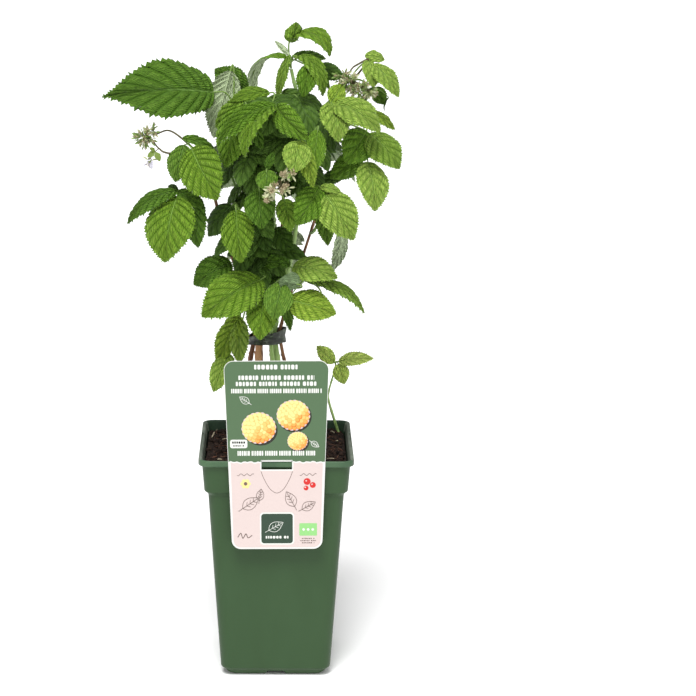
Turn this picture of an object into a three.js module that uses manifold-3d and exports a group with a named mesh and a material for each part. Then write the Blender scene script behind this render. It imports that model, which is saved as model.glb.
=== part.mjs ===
// A raspberry plant in a tall square nursery pot: canes out of the soil, held by one tie,
// lateral boughs, and masses of three-part leaves that grow by a seeded rule.
// Millimetres, +Z up. The origin is on the pot's base, at its centre. The label hangs on the -Y side.

import * as THREE from 'three';
import { mergeVertices } from 'three/addons/utils/BufferGeometryUtils.js';
import Module from 'manifold-3d';

const wasm = await Module();
wasm.setup();

// ---------------------------------------------------------------- driving dimensions

const clear = 0.3;

const potHeight = 228.5;
const lipWidth = 150;
const collarWidth = 142.6;
const bodyWidthTop = 131.8;
const bodyWidthMiddle = 118;
const bodyWidthBottom = 108.4;
const footWidth = 91.7;
const potWall = 1.5;
const collarFoot = 195;
const collarTop = 218.5;
const lipUnder = 221.8;
const floorUnder = 5.2;
const floorTop = 7;
const potCorner = 10;
const cornerSteps = 3;
const archWidth = 23;
const archHeight = 4.6;
const padRadius = 15;
const drainRadius = 5;
const drainOffset = 27;
const overcut = 1;

const soilEdge = 219.5;
const moundHeight = 3;

const labelTop = 328.4;
const labelBottom = 141;
const labelWidthTop = 99.6;
const labelWidthBottom = 87.6;
const labelCorner = 9;
const labelThick = 0.8;
const labelShift = 2.3;
const labelLean = 0.45;
const windowWidth = 29.4;
const windowLow = 221;
const windowHigh = 230.2;
const tongueDrop = 7.5;
const tongueRoot = 3;

const tieHeight = 335;
const tieBand = 17;
const tieHalfX = 19;
const tieHalfY = 12;
const tieThick = 0.9;
const tieCentre = -9.5;

const caneSides = 6;
const caneSteps = 12;
const boughSides = 5;
const boughRadii = [1.6, 1.1];
const twigSides = 3;
const twigRadius = 0.9;
const petioleRadius = 0.75;
const stemRadius = 1.1;
const stemRise = 8;
const stemShare = 0.6;
const trussRadii = [1, 0.75];
const budStalk = 0.6;
const flowerReach = 8;
const rootDepth = 1.2;

const leafletAspect = 0.66;
const leafTaper = [0.56, 0.26];
const sideShare = 0.74;
const neckShare = 0.09;
const outwardShare = 0.35;
const sideArch = 0.8;
const elbowShare = 0.35;
const sagShare = 0.12;
const leafletThick = 0.012;
const thinnestLeaflet = 0.45;
const shortLeaflet = 45;
const guard = 0.5;
const joinTolerance = 0.04;

const tones = {
  pot: 0x3f6344,
  soil: 0x32261f,
  label: 0x68906a,
  tie: 0x3b4238,
  tan: 0xb28560,
  brown: 0x7d5640,
  green: 0x9dbd74,
  light: 0x83aa48,
  fresh: 0x9ab84c,
  mid: 0x67963c,
  dark: 0x345628
};

// ---------------------------------------------------------------- numbers and vectors

const degrees = Math.PI / 180;

function seededRandom(seed) {
  let state = seed >>> 0;
  return () => {
    state = (Math.imul(state, 1664525) + 1013904223) >>> 0;
    return (state >>> 8) / 16777216;
  };
}

const vector = (x, y, z) => new THREE.Vector3(x, y, z);
const along = (from, direction, distance) => from.clone().addScaledVector(direction, distance);
const towards = (from, to) => to.clone().sub(from).normalize();

function polar(azimuth, reach, height) {
  return vector(Math.cos(azimuth * degrees) * reach, Math.sin(azimuth * degrees) * reach, height);
}

// ---------------------------------------------------------------- plain meshes
// A plain mesh is { points: [Vector3], faces: [[a, b, c]] }, closed, with its faces pointing out.

function toGeometry(mesh) {
  const geometry = new THREE.BufferGeometry();
  const positions = mesh.points.flatMap((point) => [point.x, point.y, point.z]);
  geometry.setAttribute('position', new THREE.Float32BufferAttribute(positions, 3));
  geometry.setIndex(mesh.faces.flat());
  return geometry;
}

function toManifold(geometry) {
  const bare = geometry.clone();
  bare.deleteAttribute('normal');
  bare.deleteAttribute('uv');
  const merged = mergeVertices(bare, 1e-4);
  const vertProperties = new Float32Array(merged.attributes.position.array);
  const triVerts = new Uint32Array(merged.index.array);
  return new wasm.Manifold(new wasm.Mesh({ numProp: 3, vertProperties, triVerts }));
}

function fromManifold(solid) {
  const result = solid.getMesh();
  const geometry = new THREE.BufferGeometry();
  geometry.setAttribute('position', new THREE.Float32BufferAttribute(result.vertProperties, 3));
  geometry.setIndex(Array.from(result.triVerts));
  return geometry;
}

function join(geometries) {
  return geometries.map(toManifold).reduce((whole, next) => whole.add(next));
}

// The largest body of a joined solid, without the scraps and sealed hollows that joining leaves.
function mainBody(solid) {
  const larger = (best, next) => (next.volume() > best.volume() ? next : best);
  return solid.simplify(joinTolerance).decompose().reduce(larger);
}

// A closed tube along points, with a radius at each point and flat ends.
function tube(points, radii, sides) {
  const mesh = { points: [], faces: [] };
  let across = null;
  points.forEach((point, index) => {
    const before = points[Math.max(index - 1, 0)];
    const after = points[Math.min(index + 1, points.length - 1)];
    const tangent = towards(before, after);
    if (across === null) {
      const helper = Math.abs(tangent.z) > 0.9 ? vector(1, 0, 0) : vector(0, 0, 1);
      across = helper;
    }
    across = across.clone().addScaledVector(tangent, -across.dot(tangent)).normalize();
    const beside = tangent.clone().cross(across);
    for (let side = 0; side < sides; side += 1) {
      const turn = (2 * Math.PI * side) / sides;
      const corner = along(point, across, Math.cos(turn) * radii[index]);
      mesh.points.push(along(corner, beside, Math.sin(turn) * radii[index]));
    }
  });
  for (let ring = 0; ring < points.length - 1; ring += 1) {
    for (let side = 0; side < sides; side += 1) {
      const next = (side + 1) % sides;
      const low = ring * sides;
      const high = low + sides;
      mesh.faces.push([low + side, low + next, high + next]);
      mesh.faces.push([low + side, high + next, high + side]);
    }
  }
  const last = (points.length - 1) * sides;
  for (let side = 1; side < sides - 1; side += 1) {
    mesh.faces.push([0, side + 1, side]);
    mesh.faces.push([last, last + side, last + side + 1]);
  }
  return mesh;
}

function spline(points, steps) {
  const curve = new THREE.CatmullRomCurve3(points, false, 'catmullrom', 0.5);
  return Array.from({ length: steps + 1 }, (unused, index) => curve.getPoint(index / steps));
}

function taper(from, to, count) {
  return Array.from({ length: count }, (unused, index) => from + ((to - from) * index) / (count - 1));
}

// ---------------------------------------------------------------- pot and soil

// One ring of a rounded square, anticlockwise from above.
function squareRing(half, corner, height) {
  const ring = [];
  for (let quarter = 0; quarter < 4; quarter += 1) {
    const centre = polar(45 + quarter * 90, (half - corner) * Math.SQRT2, height);
    for (let step = 0; step <= cornerSteps; step += 1) {
      const turn = quarter * 90 + (step * 90) / cornerSteps;
      ring.push(centre.clone().add(polar(turn, corner, 0)));
    }
  }
  return ring;
}

// A solid swept round the pot's axis through square rings, closed by a flat face at each end.
// Rows are [half width, height] and run from the lower end face, outside, to the upper one.
function squareLathe(rows, corner) {
  const mesh = { points: [], faces: [] };
  const around = 4 * (cornerSteps + 1);
  rows.forEach(([half, height]) => {
    mesh.points.push(...squareRing(half, Math.min(corner, half * 0.45), height));
  });
  for (let row = 0; row < rows.length - 1; row += 1) {
    for (let side = 0; side < around; side += 1) {
      const next = (side + 1) % around;
      const low = row * around;
      const high = low + around;
      mesh.faces.push([low + side, low + next, high + next]);
      mesh.faces.push([low + side, high + next, high + side]);
    }
  }
  const last = (rows.length - 1) * around;
  for (let side = 1; side < around - 1; side += 1) {
    mesh.faces.push([0, side + 1, side]);
    mesh.faces.push([last, last + side, last + side + 1]);
  }
  return toGeometry(mesh);
}

// The wall's rows, outside from the foot up and then inside from the lip down.
const outerRows = [
  [footWidth / 2, 0],
  [49.2, 2.4],
  [50.8, 5.6],
  [bodyWidthBottom / 2, 8.8],
  [bodyWidthMiddle / 2, 81],
  [bodyWidthTop / 2, 191],
  [bodyWidthTop / 2 + 1, 193],
  [collarWidth / 2 - 1.5, collarFoot + 1],
  [collarWidth / 2, collarTop],
  [collarWidth / 2 + 0.3, lipUnder],
  [lipWidth / 2, lipUnder + 1.5],
  [lipWidth / 2, potHeight - 1.2],
  [lipWidth / 2 - 1, potHeight]
];

const innerRows = [
  [72.4, potHeight],
  [71.2, potHeight - 1.2],
  [collarWidth / 2 - potWall, collarTop],
  [collarWidth / 2 - 1.5 - potWall, collarFoot + 2.5],
  [bodyWidthTop / 2 - potWall, 192.4],
  [bodyWidthMiddle / 2 - potWall, 81],
  [bodyWidthBottom / 2 - potWall - 0.3, 13],
  [49, 8.5],
  [47.5, floorTop]
];

function potGeometry() {
  const shell = squareLathe([[41.5, floorUnder], [42.5, 0], ...outerRows, ...innerRows], potCorner);
  const padHeight = floorUnder + overcut;
  const pad = new THREE.CylinderGeometry(padRadius, padRadius, padHeight, 20);
  pad.rotateX(90 * degrees);
  pad.translate(0, 0, padHeight / 2);
  let solid = join([shell, pad]);
  const arch = new THREE.Shape();
  arch.moveTo(-archWidth / 2, -overcut);
  arch.lineTo(archWidth / 2, -overcut);
  arch.lineTo(archWidth / 2 - 3, archHeight);
  arch.lineTo(3 - archWidth / 2, archHeight);
  for (let side = 0; side < 4; side += 1) {
    const cutter = new THREE.ExtrudeGeometry(arch, { depth: 20, bevelEnabled: false });
    cutter.rotateX(90 * degrees);
    cutter.translate(0, -36, 0);
    cutter.rotateZ(side * 90 * degrees);
    solid = solid.subtract(toManifold(cutter));
    const drain = new THREE.CylinderGeometry(drainRadius, drainRadius, 10, 8);
    drain.rotateX(90 * degrees);
    drain.translate(drainOffset, drainOffset, floorTop);
    drain.rotateZ(side * 90 * degrees);
    solid = solid.subtract(toManifold(drain));
  }
  return fromManifold(solid);
}

// The soil fills the pot to its collar, and its top is a low mound.
function soilHeight(x, y) {
  const share = Math.min(Math.max(Math.abs(x), Math.abs(y)) / (collarWidth / 2), 1);
  return soilEdge + moundHeight * (1 - share * share);
}

function soilGeometry() {
  const inside = (half) => half - clear;
  const edge = inside(collarWidth / 2 - potWall - 0.9);
  const walls = innerRows.slice(3).reverse().map(([half, height]) => [inside(half), height + clear]);
  const mound = [1, 0.82, 0.62, 0.42, 0.2].map((share) => [edge * share, soilHeight(edge * share, 0)]);
  return squareLathe([...walls, ...mound], potCorner - clear);
}

// ---------------------------------------------------------------- label and tie

const labelFront = -(lipWidth / 2 + clear);

function labelSheet() {
  const plate = new THREE.Shape();
  const corners = [
    [-labelWidthBottom / 2, labelBottom],
    [labelWidthBottom / 2, labelBottom],
    [labelWidthTop / 2, labelTop],
    [-labelWidthTop / 2, labelTop]
  ];
  corners.forEach(([x, z], index) => {
    const insideX = x - Math.sign(x) * labelCorner;
    const insideZ = z + (index < 2 ? labelCorner : -labelCorner);
    const turn = (180 + index * 90) * degrees;
    plate.absarc(insideX, insideZ, labelCorner, turn, turn + 90 * degrees);
  });
  const opening = new THREE.Path();
  opening.moveTo(-windowWidth / 2, windowLow);
  opening.lineTo(-windowWidth / 2, windowHigh);
  opening.lineTo(windowWidth / 2, windowHigh);
  opening.lineTo(windowWidth / 2, windowLow);
  plate.holes.push(opening);
  const settings = { depth: labelThick, bevelEnabled: false, curveSegments: 5 };
  const sheet = new THREE.ExtrudeGeometry(plate, settings);
  sheet.rotateX(90 * degrees);
  sheet.translate(0, labelFront, 0);
  return sheet;
}

// The tongue comes from the window's upper edge, lies over the lip and hangs inside the collar.
// It clears the lip by a little more than the label's lean takes up across its width.
function labelGeometry() {
  const overLip = potHeight + clear + 0.1;
  const insideCollar = potWall + clear + 0.1 - collarWidth / 2;
  const sunk = [labelFront - labelThick * 0.6, labelFront - labelThick * 0.2];
  const strip = new THREE.Shape();
  strip.moveTo(sunk[0], overLip);
  strip.lineTo(insideCollar, overLip);
  strip.lineTo(insideCollar, overLip - tongueDrop);
  strip.lineTo(insideCollar + labelThick, overLip - tongueDrop);
  strip.lineTo(insideCollar + labelThick, overLip + labelThick);
  strip.lineTo(sunk[1], overLip + labelThick);
  strip.lineTo(sunk[1], windowHigh + tongueRoot);
  strip.lineTo(sunk[0], windowHigh + tongueRoot);
  const tongue = new THREE.ExtrudeGeometry(strip, { depth: windowWidth - 1, bevelEnabled: false });
  tongue.applyMatrix4(new THREE.Matrix4().makeBasis(vector(0, 1, 0), vector(0, 0, 1), vector(1, 0, 0)));
  tongue.translate((1 - windowWidth) / 2, 0, 0);
  return fromManifold(join([labelSheet(), tongue]));
}

function tieGeometry() {
  const band = new THREE.Shape();
  band.absellipse(0, 0, tieHalfX, tieHalfY, 0, 2 * Math.PI);
  const hollow = new THREE.Path();
  hollow.absellipse(0, 0, tieHalfX - tieThick, tieHalfY - tieThick, 0, 2 * Math.PI, true);
  band.holes.push(hollow);
  return new THREE.ExtrudeGeometry(band, { depth: tieBand, bevelEnabled: false, curveSegments: 9 });
}

// ---------------------------------------------------------------- canes

// Each cane stands on the soil at its foot, passes the tie, and then follows its upper points.
const canes = [
  { name: 'cane_leader', tone: 'green', foot: [16, 4], tie: [-1, 1], radii: [3.1, 1.5],
    upper: [[18, 0, 440], [22, -5, 545], [13, -4, 596]] },
  { name: 'cane_green', tone: 'green', foot: [6, -10], tie: [-5, -7.8], radii: [2.1, 1.2],
    upper: [[-3, -12, 420], [-4, -30, 525], [-5, -40, 548]] },
  { name: 'cane_thick', tone: 'tan', foot: [-22, -8], tie: [-17.5, -2.5], radii: [3.5, 2],
    upper: [[-15, 0, 420], [-17, 6, 500], [-12, 8, 540]] },
  { name: 'cane_left', tone: 'brown', foot: [-44, 12], tie: [-23.4, 4.2], radii: [2.5, 1.4],
    upper: [[-46, 10, 420], [-60, 2, 470], [-66, -6, 502]] },
  { name: 'cane_thin', tone: 'brown', foot: [-14, 14], tie: [-15, 7.6], radii: [1.6, 1],
    upper: [[-27, 22, 430], [-38, 22, 510], [-42, 16, 545]] },
  { name: 'cane_right', tone: 'brown', foot: [28, 8], tie: [4.8, 1.5], radii: [1.8, 1.1],
    upper: [[28, 14, 420], [50, 6, 490], [62, -4, 508]] },
  { name: 'cane_back', tone: 'brown', foot: [2, 22], tie: [-6, 8.4], radii: [1.6, 1.1],
    upper: [[4, 30, 430], [8, 38, 500], [10, 40, 545]] }
];

const sucker = { name: 'cane_sucker', tone: 'green', foot: [63, 58], radii: [1.4, 0.8],
  upper: [[53, 54, 254], [53, 52, 265], [58, 46, 287]] };

function caneLine(cane) {
  const [x, y] = cane.foot;
  const points = [vector(x, y, soilHeight(x, y) + clear)];
  if (cane.tie) {
    points.push(vector(cane.tie[0], cane.tie[1], tieHeight - tieBand * 0.7));
    points.push(vector(cane.tie[0], cane.tie[1], tieHeight + tieBand * 0.7));
  }
  points.push(...cane.upper.map((place) => vector(...place)));
  return points;
}

// A cane's foot is a level cut.
function caneMesh(cane) {
  const line = spline(caneLine(cane), caneSteps);
  const mesh = tube(line, taper(cane.radii[0], cane.radii[1], line.length), caneSides);
  mesh.points.slice(0, caneSides).forEach((point) => {
    point.z = line[0].z;
  });
  return { line, mesh };
}

// ---------------------------------------------------------------- leaves

// One leaflet is a thin lens along an arc from its base to its tip. The arc turns by `arch`
// degrees, and its upper side looks towards the azimuth `face`, raised by `lean` from level.
function leafletMesh(leaflet, swell) {
  const base = leaflet.base;
  const chord = leaflet.tip.distanceTo(base);
  const forward = towards(base, leaflet.tip);
  const upper = polar(leaflet.face, Math.sin(leaflet.lean * degrees), Math.cos(leaflet.lean * degrees));
  const normal = upper.addScaledVector(forward, -upper.dot(forward)).normalize();
  const beside = forward.clone().cross(normal);
  const arch = Math.max(leaflet.arch, 1) * degrees;
  const arcRadius = chord / 2 / Math.sin(arch / 2);
  const halfWidth = (chord * leaflet.aspect) / 2 + swell;
  const halfThick = Math.max(chord * leafletThick, thinnestLeaflet) / 2 + swell;
  const stations = leaflet.coarse || chord < shortLeaflet ? [0.24, 0.64] : [0.14, 0.42, 0.76];
  const mesh = { points: [base.clone(), leaflet.tip.clone()], faces: [] };
  stations.forEach((share) => {
    const slope = arch * (0.5 - share);
    const ahead = arcRadius * (Math.sin(arch / 2) - Math.sin(slope));
    const lift = arcRadius * (Math.cos(slope) - Math.cos(arch / 2));
    const middle = along(along(base, forward, ahead), normal, lift);
    const out = normal.clone().multiplyScalar(Math.cos(slope)).addScaledVector(forward, -Math.sin(slope));
    const width = halfWidth * leafletWidth(share, leaflet.taper);
    const rise = width * Math.sin(leaflet.fold * degrees);
    [-1, 1].forEach((side) => {
      const edge = along(middle, beside, side * width * Math.cos(leaflet.fold * degrees));
      mesh.points.push(along(edge, out, rise));
    });
    mesh.points.push(along(middle, out, halfThick));
    mesh.points.push(along(middle, out, -halfThick));
  });
  stations.forEach((share, index) => {
    const [left, right, top, under] = [0, 1, 2, 3].map((corner) => 2 + index * 4 + corner);
    if (index === 0) {
      mesh.faces.push([0, right, top], [0, top, left], [0, under, right], [0, left, under]);
    }
    if (index === stations.length - 1) {
      mesh.faces.push([top, right, 1], [left, top, 1], [right, under, 1], [under, left, 1]);
      return;
    }
    const [nextLeft, nextRight, nextTop, nextUnder] = [left + 4, right + 4, top + 4, under + 4];
    mesh.faces.push([top, right, nextRight], [top, nextRight, nextTop]);
    mesh.faces.push([left, top, nextTop], [left, nextTop, nextLeft]);
    mesh.faces.push([right, under, nextUnder], [right, nextUnder, nextRight]);
    mesh.faces.push([under, left, nextLeft], [under, nextLeft, nextUnder]);
  });
  return mesh;
}

// Half width along a leaflet, from a rounded base to a drawn-out tip, as a share of the widest.
function leafletWidth(share, [blunt, drawn]) {
  return Math.pow(Math.sin(Math.PI * Math.pow(share, 0.84)), blunt + drawn * share);
}

// A side leaflet: its tip, and what sets its blade apart from the end leaflet's.
function side(tip, settings = {}) {
  return { tip, settings };
}

// A leaf row: its fork, the tip of its end leaflet, its side leaflets, and how it is set. Unless
// told, its upper side looks between the front and straight out from the plant.
function leaf(fork, tip, settings = {}) {
  const outward = (Math.atan2(fork[1], fork[0]) / degrees + 360) % 360;
  const face = 270 + (outward < 90 ? 90 : Math.max(outward, 180) - 270) * outwardShare;
  return { fork: vector(...fork), tip: vector(...tip), arch: 40, lean: 52, face, sides: [], ...settings };
}

// Leaves by rule in the mass's own space: round the plant's axis from low to high.
function grownLeaves(space, random) {
  const between = ([low, high], share) => low + (high - low) * share;
  return Array.from({ length: space.count }, (unused, index) => {
    const share = (index + 0.5) / space.count;
    const swing = (index * 0.618 + random() * 0.2) % 1;
    const azimuth = between(space.azimuth, swing);
    const fork = polar(azimuth, between(space.reach, random()), between(space.height, share));
    const length = between(space.length, random());
    const heading = azimuth + (random() - 0.5) * 40;
    const dip = 42 + random() * 16;
    const tip = fork.clone().add(polar(heading, Math.cos(dip * degrees) * length, 0));
    tip.z -= Math.sin(dip * degrees) * length;
    const arch = 25 + random() * 20;
    const lean = 40 + random() * 8;
    return { fork, tip, arch, lean, face: azimuth, sides: [], grown: true };
  });
}

// Each mass: what carries it, where its bough leaves the cane and ends, and its leaves.
const masses = [
  { name: 'leaves_leader_top', tone: 'light', on: 'cane_leader', leaves: [
    leaf([15, -2, 625], [49, -16, 609], { aspect: 0.76, arch: 150, lean: 36, face: 308, sides: [
      side([17, -10, 641], { base: [14, -4, 621], aspect: 1.04, arch: 30, lean: 80 })
    ] }),
    leaf([11, -4, 609], [-22, -4, 577], { aspect: 0.5, arch: 134, lean: 44, face: 182, sides: [
      side([-3, 4, 622], { aspect: 0.3, arch: 20, lean: 70, face: 95 }),
      side([0, -22, 569], { aspect: 0.26, arch: 25, lean: 80, face: 240 })
    ] }),
    leaf([15, -6, 609], [42, -34, 574], { aspect: 0.42, arch: 128, lean: 38, face: 300, sides: [
      side([24, -42, 574], { base: [30, -28, 603], aspect: 0.62, arch: 30, lean: 80, face: 270 }),
      side([46, 12, 604], { aspect: 0.3, arch: 30, lean: 60 })
    ] }),
    leaf([35, 14, 597], [64, 6, 586], { aspect: 0.6, arch: 50, lean: 55, sides: [
      side([50, 0, 576], { base: [42, 6, 594], aspect: 0.5, lean: 60 })
    ] })
  ] },
  { name: 'leaves_upper_left', tone: 'mid', on: 'cane_thin', leaves: [
    leaf([-52, 6, 573], [-165, -24, 571], { aspect: 0.58, arch: 42, lean: 58, face: 262, taper: [0.38, 1] }),
    leaf([-44, 22, 596], [-61, 4, 529], { aspect: 0.5, arch: 24, lean: 82, face: 92 }),
    leaf([-29, 46, 566], [-61, 40, 591], { aspect: 0.8, arch: 30, lean: 75, face: 270, sides: [
      side([-21, 48, 585], { aspect: 0.6, arch: 30, lean: 70, face: 95 })
    ] })
  ] },
  { name: 'leaves_left_flower', tone: 'light', on: 'cane_left', leaves: [
    leaf([-83, -34, 528], [-55, -66, 481], { aspect: 0.76, arch: 30, lean: 68, sides: [
      side([-96, -40, 493], { base: [-88, -30, 527], aspect: 0.74, lean: 75 }),
      side([-57, -22, 513], { base: [-90, -30, 533], aspect: 0.42, arch: 66, lean: 35, face: 300 })
    ] })
  ], truss: {
    ways: [
      [[-90, -30, 533], [-103, -26, 540], [-115, -24, 536]],
      [[-103, -30, 519], [-112, -27, 523], [-118, -25, 530]]
    ],
    clusters: [[-126, -24, 534, 8], [-119, -24, 539, 5]],
    flower: [-121, -28, 512]
  } },
  { name: 'leaves_left', tone: 'light', on: 'cane_left', at: 440, bough: [-78, -18, 468], leaves: [
    leaf([-94, -30, 483], [-105, -66, 421], { aspect: 0.77, arch: 40, lean: 66, sides: [
      side([-142, -36, 452], { aspect: 0.42, arch: 76, lean: 38, face: 235 }),
      side([-75, -34, 429], { base: [-80, -28, 481], aspect: 0.54, lean: 75 }),
      side([-70, -48, 470], { aspect: 0.5, lean: 70, face: 285 }), side([-104, -18, 486], { aspect: 0.5 })
    ] })
  ] },
  { name: 'leaves_left_inner', tone: 'mid', on: 'cane_thick', at: 425, bough: [-30, -24, 452], leaves: [
    leaf([-39, -52, 472], [-33, -82, 424], { aspect: 0.62, arch: 36, lean: 66 }),
    leaf([-41, -22, 470], [-66, -24, 438], { aspect: 0.78, arch: 50, lean: 60, face: 240, sides: [
      side([-60, -30, 419], { base: [-37, -30, 442], aspect: 0.5 })
    ] })
  ] },
  { name: 'leaves_front_upper', tone: 'light', on: 'cane_green', leaves: [
    leaf([-1, -62, 568], [-29, -96, 525], { aspect: 0.54, arch: 84, lean: 60, face: 222, sides: [
      side([-54, -72, 535], { aspect: 0.42, arch: 76, lean: 50, face: 240 }),
      side([29, -88, 541], { aspect: 0.52, lean: 66 })
    ] }),
    leaf([-32, -40, 572], [-48, -58, 510], { aspect: 0.56, arch: 34, lean: 64, sides: [
      side([-58, -34, 544], { aspect: 0.45, lean: 70, face: 240 }),
      side([-14, -60, 527], { base: [-26, -50, 561], aspect: 0.42 })
    ] }),
    leaf([-5, -30, 577], [-44, -40, 570], { aspect: 0.42, arch: 60, lean: 50, face: 250 })
  ] },
  { name: 'leaves_centre', tone: 'fresh', on: 'cane_leader', at: 490, bough: [28, -40, 520], leaves: [
    leaf([21, -80, 539], [14, -98, 511], { aspect: 0.86, arch: 34, lean: 74, sides: [
      side([33, -92, 497], { aspect: 0.4, lean: 62, face: 290 })
    ] }),
    leaf([38, -62, 549], [31, -82, 506], { aspect: 0.46, arch: 34, lean: 74 })
  ] },
  { name: 'leaves_centre_low', tone: 'light', on: 'cane_green', at: 455, bough: [-4, -40, 478], leaves: [
    leaf([-17, -66, 493], [-14, -92, 458], { aspect: 0.74, arch: 40, lean: 64, sides: [
      side([-14, -72, 477], { aspect: 0.7 })
    ] }),
    leaf([-10, -80, 512], [-9, -94, 493], { aspect: 0.92, arch: 30, lean: 72, sides: [
      side([-3, -84, 529], { aspect: 0.45 })
    ] }),
    leaf([6, -58, 482], [13, -86, 454], { aspect: 0.56, arch: 34, lean: 72 })
  ], truss: {
    ways: [[[3, -88, 503], [3, -90, 496]], [[3, -88, 503], [10, -90, 500]]],
    clusters: [[-7, -97, 492, 7], [10, -97, 494, 5], [10, -94, 507, 5]]
  } },
  { name: 'leaves_right_top', tone: 'fresh', on: 'cane_leader', at: 548, bough: [60, 4, 578], leaves: [
    leaf([88, -6, 603], [114, -26, 572], { aspect: 0.58, arch: 54, lean: 66, sides: [
      side([90, -24, 581], { base: [86, -6, 605], aspect: 0.66, lean: 74 }),
      side([102, 4, 604], { base: [83, 0, 608], aspect: 0.74, arch: 66, lean: 50 })
    ] }),
    leaf([92, 14, 577], [104, 8, 561], { aspect: 0.8, arch: 40, sides: [
      side([102, -4, 556], { base: [106, 0, 569], aspect: 0.2, arch: 60 }),
      side([82, 2, 562], { aspect: 0.9 })
    ] })
  ], truss: {
    ways: [[[86, -6, 605], [75, -12, 601], [70, -18, 598], [66, -24, 591]]],
    clusters: [[61, -25, 592, 7], [69, -29, 586, 8], [78, -31, 580, 7], [86, -31, 578, 5]]
  } },
  { name: 'leaves_upper_right', tone: 'fresh', on: 'cane_leader', at: 515, bough: [46, -22, 544], leaves: [
    leaf([50, -46, 569], [95, -70, 545], { aspect: 0.64, arch: 74, lean: 50, sides: [
      side([56, -78, 537], { aspect: 0.66, lean: 66 }),
      side([61, -34, 585], { aspect: 0.8, arch: 24, lean: 62 })
    ] }),
    leaf([84, -34, 541], [114, -58, 509], { aspect: 0.7, arch: 60, lean: 58, face: 285, sides: [
      side([64, -54, 513], { aspect: 0.84, lean: 64 }),
      side([112, -8, 539], { base: [89, -12, 557], aspect: 0.4, arch: 30, lean: 56, face: 285 })
    ] })
  ] },
  { name: 'leaves_right', tone: 'light', on: 'cane_right', leaves: [
    leaf([85, -40, 516], [91, -70, 471], { aspect: 0.66, arch: 34, lean: 68, sides: [
      side([50, -34, 496], { base: [80, -30, 517], aspect: 0.64, lean: 62 }),
      side([39, -30, 490], { base: [64, -20, 500], aspect: 0.5, lean: 62 })
    ] })
  ] },
  { name: 'leaves_right_low', tone: 'fresh', on: 'cane_right', at: 435, bough: [42, -22, 462], leaves: [
    leaf([40, -66, 493], [71, -88, 447], { aspect: 0.68, arch: 38, lean: 64, sides: [
      side([18, -94, 462], { aspect: 0.62, lean: 64 }),
      side([61, -70, 486], { aspect: 0.5, arch: 70, lean: 44 })
    ] }),
    leaf([41, -40, 477], [48, -54, 435], { aspect: 0.46, arch: 30, lean: 66, sides: [
      side([51, -58, 411], { base: [61, -50, 450], aspect: 0.42, arch: 66, lean: 74, face: 50 })
    ] })
  ] },
  { name: 'leaves_low_left', tone: 'light', on: 'cane_thick', at: 375, bough: [-25, -24, 396], leaves: [
    leaf([-11, -44, 403], [-70, -86, 373], { aspect: 0.64, arch: 46, lean: 60, face: 258, sides: [
      side([-39, -26, 408], { aspect: 0.5 }),
      side([-80, -26, 391], { base: [-44, -20, 412], aspect: 0.78, arch: 34, lean: 62, face: 262 })
    ] }),
    leaf([-35, -34, 362], [-35, -58, 320], { aspect: 0.44, arch: 40, lean: 64, sides: [
      side([-57, -50, 319], { aspect: 0.47 }), side([-51, -24, 351], { aspect: 0.45 })
    ] }),
    leaf([-44, -46, 330], [-60, -66, 295], { aspect: 0.58, arch: 34, lean: 66 })
  ] },
  { name: 'leaves_low_front', tone: 'light', on: 'cane_green', at: 368, bough: [-8, -30, 388], leaves: [
    leaf([-12, -52, 388], [-16, -78, 349], { aspect: 0.7, arch: 38, lean: 66 }),
    leaf([5, -66, 404], [-3, -88, 371], { aspect: 0.74, arch: 30, lean: 72, sides: [
      side([13, -60, 354], { aspect: 0.26 })
    ] }),
    leaf([22, -66, 400], [2, -76, 406], { aspect: 0.98, arch: 24, lean: 80, face: 80 })
  ] },
  { name: 'leaves_low_right', tone: 'light', on: 'cane_leader', at: 368, bough: [14, -20, 388], leaves: [
    leaf([12, -46, 413], [57, -70, 407], { aspect: 0.6, arch: 66, lean: 54, sides: [
      side([2, -40, 422], { aspect: 0.7 })
    ] }),
    leaf([26, -40, 399], [83, -60, 371], { aspect: 0.34, arch: 98, lean: 14, face: 290, sides: [
      side([56, -72, 373], { base: [17, -60, 381], aspect: 0.74, arch: 24, lean: 50, face: 262 }),
      side([43, -30, 381], { aspect: 0.62 })
    ] })
  ] },
  { name: 'leaves_sucker', tone: 'light', on: 'cane_sucker', leaves: [
    leaf([60, 43, 298], [97, 36, 303], { aspect: 0.43, arch: 50, lean: 55, face: 270, sides: [
      side([40, 36, 316], { base: [58, 42, 297], aspect: 0.57, arch: 18, lean: 76 }),
      side([68, 34, 277], { base: [62, 42, 296], aspect: 0.8, arch: 18, lean: 78 })
    ] })
  ] },
  { name: 'leaves_inner', tone: 'dark', on: 'cane_thick', at: 405, bough: [-14, -12, 425], leaves: [
    leaf([-14, -22, 427], [8, -30, 400], { arch: 40, sides: [side([-26, -24, 403])] }),
    leaf([-14, -30, 414], [-19, -52, 384], { arch: 40, sides: [side([7, -36, 416], { aspect: 0.7 })] })
  ] },
  { name: 'leaves_heart', tone: 'dark', on: 'cane_thick', seed: 11,
    grown: { count: 8, azimuth: [190, 350], reach: [18, 40], height: [490, 576], length: [40, 50] } },
  { name: 'leaves_heart_low', tone: 'dark', on: 'cane_green', at: 400, bough: [-4, -22, 420], seed: 22,
    grown: { count: 6, azimuth: [190, 262], reach: [10, 28], height: [400, 468], length: [38, 46] } },
  { name: 'leaves_back_top', tone: 'mid', on: 'cane_back', seed: 12,
    grown: { count: 5, azimuth: [55, 140], reach: [18, 50], height: [520, 566], length: [38, 50] } },
  { name: 'leaves_back_left', tone: 'mid', on: 'cane_thin', at: 470, bough: [-46, 40, 490], seed: 13,
    grown: { count: 4, azimuth: [112, 160], reach: [50, 74], height: [480, 545], length: [40, 52] } },
  { name: 'leaves_back_right', tone: 'mid', on: 'cane_leader', at: 470, bough: [38, 30, 492], seed: 14,
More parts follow.
